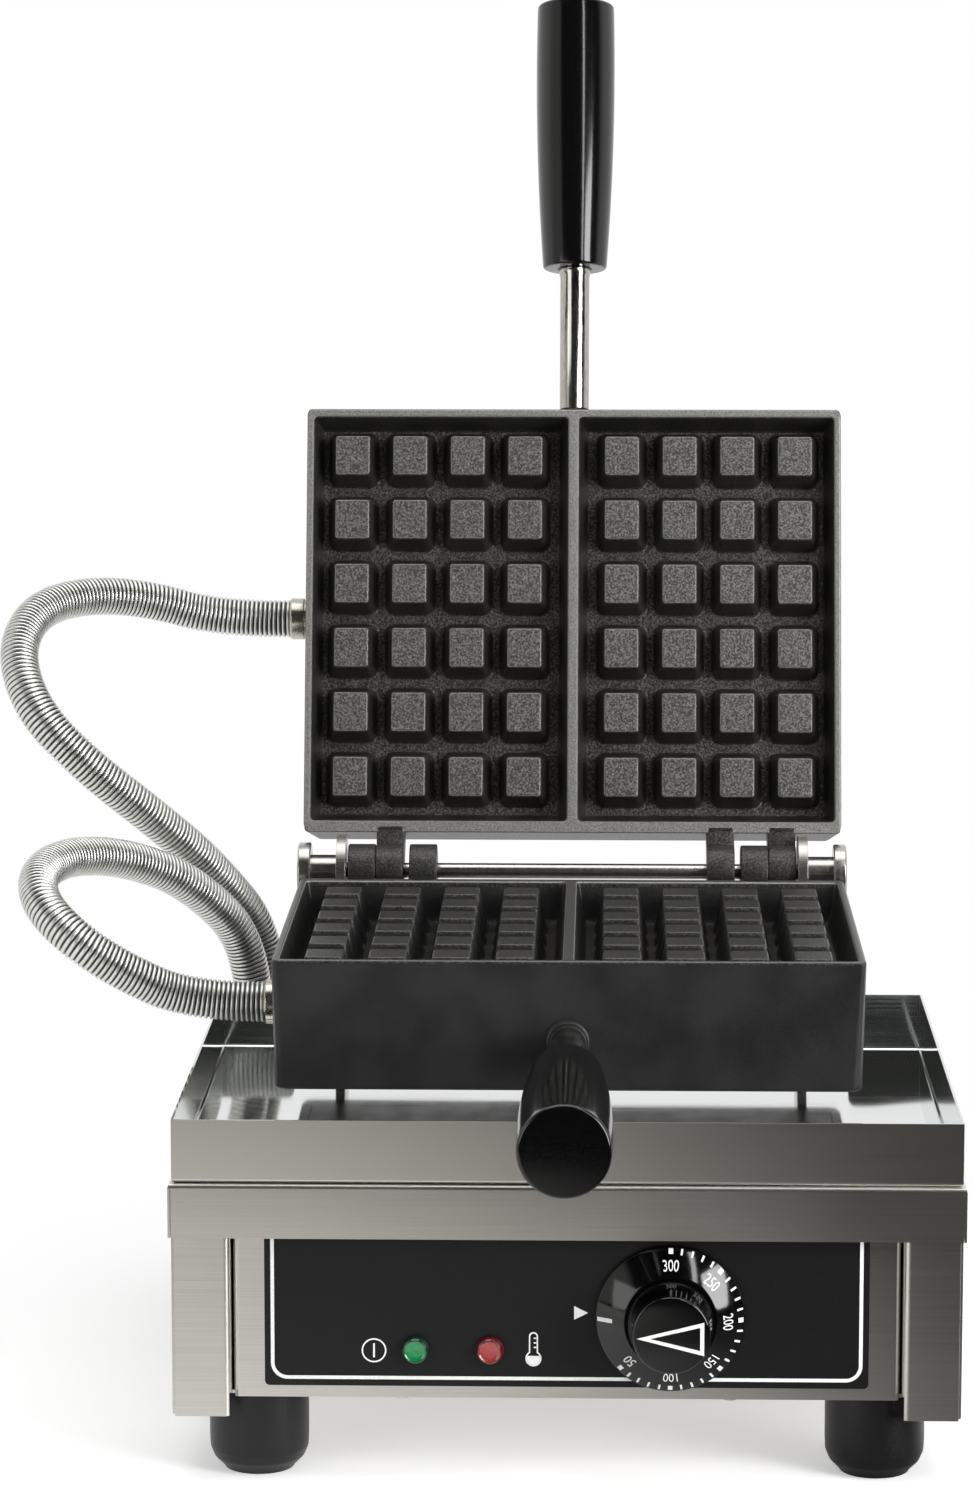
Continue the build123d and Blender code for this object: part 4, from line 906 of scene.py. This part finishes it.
PIN_LENGTH, PIN_R = 224, 3.5
pin_profile = eased([(0, 0), (0, PIN_R, 0.4), (PIN_LENGTH, PIN_R, 0.4), (PIN_LENGTH, 0)], 3)
pin = turned(pin_profile, HINGE - (PIN_LENGTH / 2, 0, 0), (1, 0, 0), sides=40)
pin_mesh = mesh_of("hinge_rod", [pin])
piece("hinge_rod_turned", pin_mesh, "base", hinge_finish, ["hinge_rod"])

AXLE_END_X = 106.1
axle_profile = eased([
    (0, 0), (0, 7), (11, 7, 0.2), (11.8, 7), (11.8, 12.0, 0.4), (12.4, 12.6), (17.0, 12.6, 0.6),
    (17.6, 11.9), (17.6, 0),
], 3)
for side, hand in ((-1, "left"), (1, "right")):
    end = turned(axle_profile, (side * AXLE_END_X, HINGE[1], HINGE[2]), (side, 0, 0), sides=64)
    node = "axle_end_" + hand
    piece(node + "_turned", mesh_of(node, [end]), "base", hinge_finish, [node])


# Hose glands: a hexagon with chamfered corners, and a domed collar that grips the hose

COVER_TOP = 124
gland_profile = eased([
    (0, 0), (0, 10.2), (0.8, 11.2), (7.2, 11.2), (8.0, 10.2), (8.2, 9.6), (8.4, 9.9),
    (11.2, 9.9, 0.8), (12, 8.9), (12, 0),
], 3)
for name, x, y in (("upper", -139.5, 158.326), ("lower", -145.0, 135.326)):
    gland = turned(gland_profile, (x, y, COVER_TOP), (0, 0, 1), flats=9.5)
    neck = rod((x, y, COVER_TOP - 8.5), (0, 0, 1), 7.8, 9)
    node = name + "_hose_gland"
    mesh = mesh_of(node, [gland, neck], sharp_deg=20)
    piece(node + "_turned", mesh, "base", fitting_finish, [node])


# Feet

FOOT_X = 125.2
foot_profile = eased([
    (0, 0), (0, 14, 1.0), (1.2, 14.6), (5.0, 18.4, 4.0), (9.0, 20.0, 3.0), (14.0, 20.25),
    (35.2, 20.25, 0.7), (36, 19.5), (36, 0),
], 5)
for end, y in (("front", -116.674), ("rear", 149.326)):
    for hand, x in (("left", -FOOT_X), ("right", FOOT_X)):
        node = f"foot_{end}_{hand}"
        foot = mesh_of(node, [turned(foot_profile, (x, y, 0), (0, 0, 1))])
        piece(node + "_moulded", foot, "base", rubber_finish, [node])


# Dial knob, its scale and its pointer

DIAL = np.array((41.7, LABEL_Y - 0.8, 69.0))
KNOB_DEPTH = 27.5
# The skirt is a cone, between two radii at two heights
SKIRT_OUTER_R, SKIRT_INNER_R = 29.5, 19.6
SKIRT_LOW, SKIRT_HIGH = 1.7, 8.3
INK = 0.07
NUMBER_R, NUMBER_HEIGHT, NUMBER_NARROWED = 23.1, 4.05, 0.78
NUMBER_ANGLES = {50: 225, 100: 270, 150: 315, 200: 360, 250: 405, 300: 450}

knob_profile = eased([
    (0, 0), (0, 29.3), (0.4, 30), (1.2, 30, 0.3), (SKIRT_LOW, SKIRT_OUTER_R),
    (SKIRT_HIGH, SKIRT_INNER_R), (8.75, 18.6, 0.4), (8.3, 17.7), (9.2, 17.35), (25.9, 15.75),
    (KNOB_DEPTH, 15.5, 1.2), (KNOB_DEPTH, 0),
], 4)
knob = mesh_of("dial_knob", [turned(knob_profile, DIAL, (0, -1, 0), sides=120)])
piece("dial_knob_moulded", knob, "dial", knob_finish, ["dial_knob"])


def on_skirt(radius, angle, lift):
    """A point of the dial's cone at a radius and angle from the dial's middle, lifted off it."""
    climb = (SKIRT_HIGH - SKIRT_LOW) / (SKIRT_OUTER_R - SKIRT_INNER_R)
    height = SKIRT_LOW + (SKIRT_OUTER_R - radius) * climb + lift
    across, up = radius * np.cos(angle), radius * np.sin(angle)
    return np.stack([DIAL[0] + across, DIAL[1] - height, DIAL[2] + up], -1)


def skirt_mark(angle_deg, inner, outer, width):
    """A printed bar on the dial's cone between two radii, centred on an angle: a closed block whose
    cross-section is carried straight outwards."""
    radius = np.linspace(inner, outer, 4)[:, None]
    side = np.array((-1, 1, 1, -1)) * width / 2
    lift = np.array((-INK, -INK, INK, INK))
    section = on_skirt(radius, math.radians(angle_deg) + side / radius, lift)
    return surface(capped(section))


def letters(text):
    """The built-in type as a mesh, with its points about the origin in millimetres."""
    curve = bpy.data.curves.new("letters", "FONT")
    curve.body = text
    curve.align_x, curve.align_y = "CENTER", "CENTER"
    curve.extrude = 0.5
    curve.resolution_u = 6
    made = in_scene("letters", curve)
    bpy.context.view_layer.update()
    shown = made.evaluated_get(bpy.context.evaluated_depsgraph_get())
    mesh = bpy.data.meshes.new_from_object(shown)
    bpy.data.objects.remove(made)
    points = points_of(mesh)
    middle = (points.max(0) + points.min(0)) / 2
    points = (points - middle) * NUMBER_HEIGHT / np.ptp(points[:, 1])
    points[:, 0] *= NUMBER_NARROWED
    return mesh, points


def number_on_skirt(text, angle_deg):
    """A number set round the dial's cone with its top outwards: across goes round, up goes out."""
    mesh, points = letters(text)
    lift = np.where(points[:, 2] > 0, INK, -INK)
    round_by = math.radians(angle_deg) - points[:, 0] / NUMBER_R
    placed = on_skirt(NUMBER_R + points[:, 1], round_by, lift)
    mesh.vertices.foreach_set("co", (placed * MM).ravel())
    return mesh


def stroke(path, width, y, closed=True):
    """A printed line along a path of (x, z) points on a plane of constant y: a flat bar of that
    width and twice the ink's thickness, mitred at its corners."""
    path = np.array(path, float)
    if closed:
        ahead, behind = np.roll(path, -1, 0) - path, path - np.roll(path, 1, 0)
    else:
        ahead = np.diff(path, axis=0, append=2 * path[-1:] - path[-2:-1])
        behind = np.diff(path, axis=0, prepend=2 * path[:1] - path[1:2])
    ahead, behind = unit(ahead), unit(behind)
    normal = unit((ahead + behind)[:, ::-1] * (-1, 1))
    mitre = 1 / np.maximum((normal * ahead[:, ::-1] * (-1, 1)).sum(1), 0.3)
    side = np.array((-1, 1, 1, -1)) * width / 2
    flat = path[:, None] + (normal * mitre[:, None])[:, None] * side[:, None]
    depth = np.broadcast_to(y + np.array((INK, INK, -INK, -INK)), flat.shape[:2])
    bar = np.stack([flat[..., 0], depth, flat[..., 1]], -1)
    return surface(bar if closed else capped(bar), close_rows=closed)


def patch(outline, y):
    """A printed area inside a closed outline of (x, z) points: the outline in front of and behind
    the plane, each side closed on the outline's middle."""
    sides = [np.insert(outline, 1, y + side * INK, axis=1) for side in (-1, 1)]
    return surface(capped(np.stack(sides)))


scale = [skirt_mark(angle, 27.2, 29.2, 1.9) for angle in NUMBER_ANGLES.values()]
scale += [skirt_mark(angle, 27.0, 29.3, 0.85) for angle in range(225, 450, 9) if angle % 45]
scale.append(skirt_mark(180, 23.4, 29.3, 1.7))
scale.append(stroke([(30.6, 67.8), (53.9, 73.5), (53.9, 62.0)], 1.6, DIAL[1] - KNOB_DEPTH))
numbers = [number_on_skirt(str(value), angle) for value, angle in NUMBER_ANGLES.items()]
dial_print = mesh_of("dial_scale", scale, numbers)
piece("dial_scale_print", dial_print, "dial", ink_finish)


# Control panel print: the frame line, the on sign, the thermometer and the dial's mark

FRAME_X, FRAME_LOW, FRAME_HIGH, FRAME_R = 118.1, 43.3, 102.0, 6.0
ON_SIGN = np.array((-77.3, 54.6))
BULB = np.array((-13.2, 51.6))
corner_x, corner_z = FRAME_X - FRAME_R, FRAME_LOW + FRAME_R
frame_line = np.concatenate([
    [(-FRAME_X, FRAME_HIGH)], arc((-corner_x, corner_z), FRAME_R, 180, 270, 12),
    arc((corner_x, corner_z), FRAME_R, 270, 360, 12), [(FRAME_X, FRAME_HIGH)],
])
thermometer = np.concatenate([
    arc(BULB + (0, 9.1), 1.55, 0, 180, 12), arc(BULB, 2.95, 122, 418, 40),
])
marks = [
    stroke(frame_line, 1.45, LABEL_Y, closed=False),
    stroke(arc(ON_SIGN, 4.7, 0, 350, 36), 0.6, LABEL_Y),
    stroke([ON_SIGN - (0, 2.9), ON_SIGN + (0, 2.9)], 0.75, LABEL_Y, closed=False),
    stroke(thermometer, 0.55, LABEL_Y),
    patch(arc(BULB, 2.6, 155, 385, 30), LABEL_Y),
    *(stroke([BULB + (0.1, up), BULB + (1.2, up)], 0.55, LABEL_Y, closed=False)
      for up in (4.6, 6.5, 8.4)),
    patch([(3.1, 73.4), (8.7, 70.6), (3.1, 67.8)], LABEL_Y),
]
label_print = mesh_of("front_label_print", marks)
piece("front_label_print", label_print, "base", ink_finish)


# Indicator lamps: a bezelled lens with a dished middle

lens_profile = eased([
    (-1, 0), (-1, 5.6), (0.2, 5.85), (1.5, 5.8, 0.4), (2.6, 5.2, 0.6), (3.3, 4.6, 0.3), (3.4, 4.35),
    (3.25, 4.1, 0.1), (3.0, 3.8), (2.85, 2.4), (2.8, 0.4), (2.8, 0),
], 4)
along, out = lens_profile.T
lens_tone = (np.clip((4.5 - out) / 0.6, 0, 1) * (along > 1))[:, None]
LAMP_Z = 55
for name, x, finish in (("green", -60.7, green_finish), ("red", -30.8, red_finish)):
    lens = turned(lens_profile, (x, LABEL_Y, LAMP_Z), (0, -1, 0), sides=64, tone=lens_tone)
    neck = rod((x, LABEL_Y + 6.5, LAMP_Z), (0, -1, 0), 3.5, 6)
    node = name + "_lamp_lens"
    piece(node + "_moulded", mesh_of(node, [lens, neck]), "base", finish, [node])


# Sheet-metal and machined pieces, with smooth bends and fine rounded edges

dressed("drip_tray", tray_finish, edge=0.2)
dressed("top_cover", band_finish, edge=0.2)
for hand in ("left", "right"):
    dressed("front_post_" + hand, band_finish)
    dressed("rear_post_" + hand, band_finish)
    dressed("side_panel_" + hand, side_finish)
    dressed("upright_" + hand, side_finish, edge=0.3)
dressed("front_panel", band_finish)
dressed("rear_panel", side_finish)
dressed("base_plate", side_finish)
dressed("rest_bar", side_finish, edge=0)
dressed("front_label", film_finish, edge=0.08)
dressed("lower_back_cover", blued_finish, edge=0.1)
dressed("upper_back_cover", blued_finish, edge=0.1)
for node in ("upright_screws", "base_screws", "foot_screws"):
    dressed(node, screw_finish, suffix="_machined")
for node in ("lower_cover_screws", "upper_cover_screws"):
    dressed(node, blued_finish, suffix="_machined")
dressed("gland_nuts", fitting_finish, suffix="_machined")
dressed("earth_stud", screw_finish, suffix="_machined")
dressed("cable_gland", socket_finish, suffix="_moulded")

# Inner pieces keep their CAD shapes
for finish, inside in (
    (socket_finish, ("green_lamp_socket", "red_lamp_socket")),
    (hinge_finish, ("dial_spindle",)),
    (thermostat_finish, ("thermostat_body",)),
    (sleeve_finish, ("thermostat_wires",)),
    (block_finish, ("terminal_block",)),
    (copper_finish, ("sensor_bulb", "sensor_capillary")),
    (heater_finish, ("lower_heating_element", "upper_heating_element")),
    (fibre_finish, ("lower_insulation", "upper_insulation")),
):
    for node in inside:
        nodes[node].data.materials.clear()
        nodes[node].data.materials.append(finish)


# Floor and studio

def glow(tree, kind, colour, strength):
    """A shader that shines by itself, an Emission or Background, in a hex or a socket's colour."""
    colour = linear(colour) if isinstance(colour, str) else colour
    return add(tree, kind, {"Color": colour, "Strength": strength}).outputs[0]


def seen_by(tree):
    """Switches that are 1 for the camera's rays, for mirrored and clear rays, and for either."""
    rays = add(tree, "LightPath").outputs
    camera_ray = rays["Is Camera Ray"]
    mirrored = reckon("MAXIMUM", rays["Is Glossy Ray"], rays["Is Transmission Ray"])
    return camera_ray, mirrored, reckon("MAXIMUM", camera_ray, mirrored)


def studio_floor():
    """White seamless paper, matt. Near the object it is lit and keeps the shadow, and further off
    it turns to plain white for the camera and for reflections. In reflections a room takes its
    place in front and on the right near the object. It is bright on the left and dark on the
    right."""
    material, tree, where = new_material("seamless_paper")
    _, mirrored, seen = seen_by(tree)
    place = parts_of(where)
    away = add(tree, "VectorMath", {0: where}, operation="LENGTH").outputs["Value"]
    fibre = spread(noise(where, 2), 0.3, 0.7)
    white_fibre = blend_colour(fibre, "#e9e9e9", "#eeeeee")
    paper = add(tree, "BsdfDiffuse", {"Color": white_fibre}).outputs[0]
    near = add(tree, "AddShader", {0: paper, 1: glow(tree, "Emission", "#ffffff", 0.4)}).outputs[0]
    white = glow(tree, "Emission", "#ffffff", 1.0)
    far = blend_shader(spread(away, 0.2, 0.44), near, white)
    front = spread(place["Y"], -0.25, -0.4)
    right = spread(place["X"], -0.15, 0.17, 0.0, 0.88)
    near_right = reckon("MULTIPLY", right, spread(place["Y"], -0.05, -0.15))
    shaded = reckon("MAXIMUM", front, near_right)
    deep = spread(place["Y"], -0.72, -0.95)
    left_to_right = blend_colour(spread(place["X"], -0.28, 0.2), "#fffdf9", "#191918")
    room = glow(tree, "Emission", blend_colour(deep, left_to_right, "#161616"), 1.25)
    shown = blend_shader(reckon("MULTIPLY", mirrored, shaded), far, room)
    add(tree, "OutputMaterial", {"Surface": blend_shader(seen, paper, shown)})
    return material


def studio_light():
    """The studio all round: an even light for matt surfaces, plain white for the camera, and for
    reflections a room that is white behind the object and darker in front of it on the right."""
    world = bpy.data.worlds.new("studio")
    bpy.context.scene.world = world
    world.use_nodes = True
    sky = world.node_tree
    sky.nodes.clear()
    camera_ray, _, seen = seen_by(sky)
    towards = parts_of(add(sky, "TexCoord").outputs["Generated"])
    behind = spread(towards["Y"], -0.3, 0.1)
    left_to_right = blend_colour(spread(towards["X"], -0.74, -0.62), "#d2d0cc", "#343533")
    front = blend_colour(spread(towards["Z"], 0.5, 0.8), left_to_right, "#161616")
    room = blend_colour(behind, front, "#ffffff")
    shown = glow(sky, "Background", blend_colour(camera_ray, room, "#ffffff"), 1.0)
    light = glow(sky, "Background", "#ffffff", 0.42)
    add(sky, "OutputWorld", {"Surface": blend_shader(seen, light, shown)})


# The floor reaches 30 m, with grid lines that stand wider apart further out
floor_lines = np.linspace(-1, 1, 41)
floor_lines = np.sign(floor_lines) * floor_lines ** 2 * 30000
floor_x, floor_y = np.meshgrid(floor_lines, floor_lines, indexing="ij")
floor_points = np.stack([floor_x, floor_y, 0 * floor_x], -1)
floor = mesh_of("floor", [surface(floor_points, close_columns=False)])
floor.materials.append(studio_floor())
in_scene("floor", floor)
studio_light()
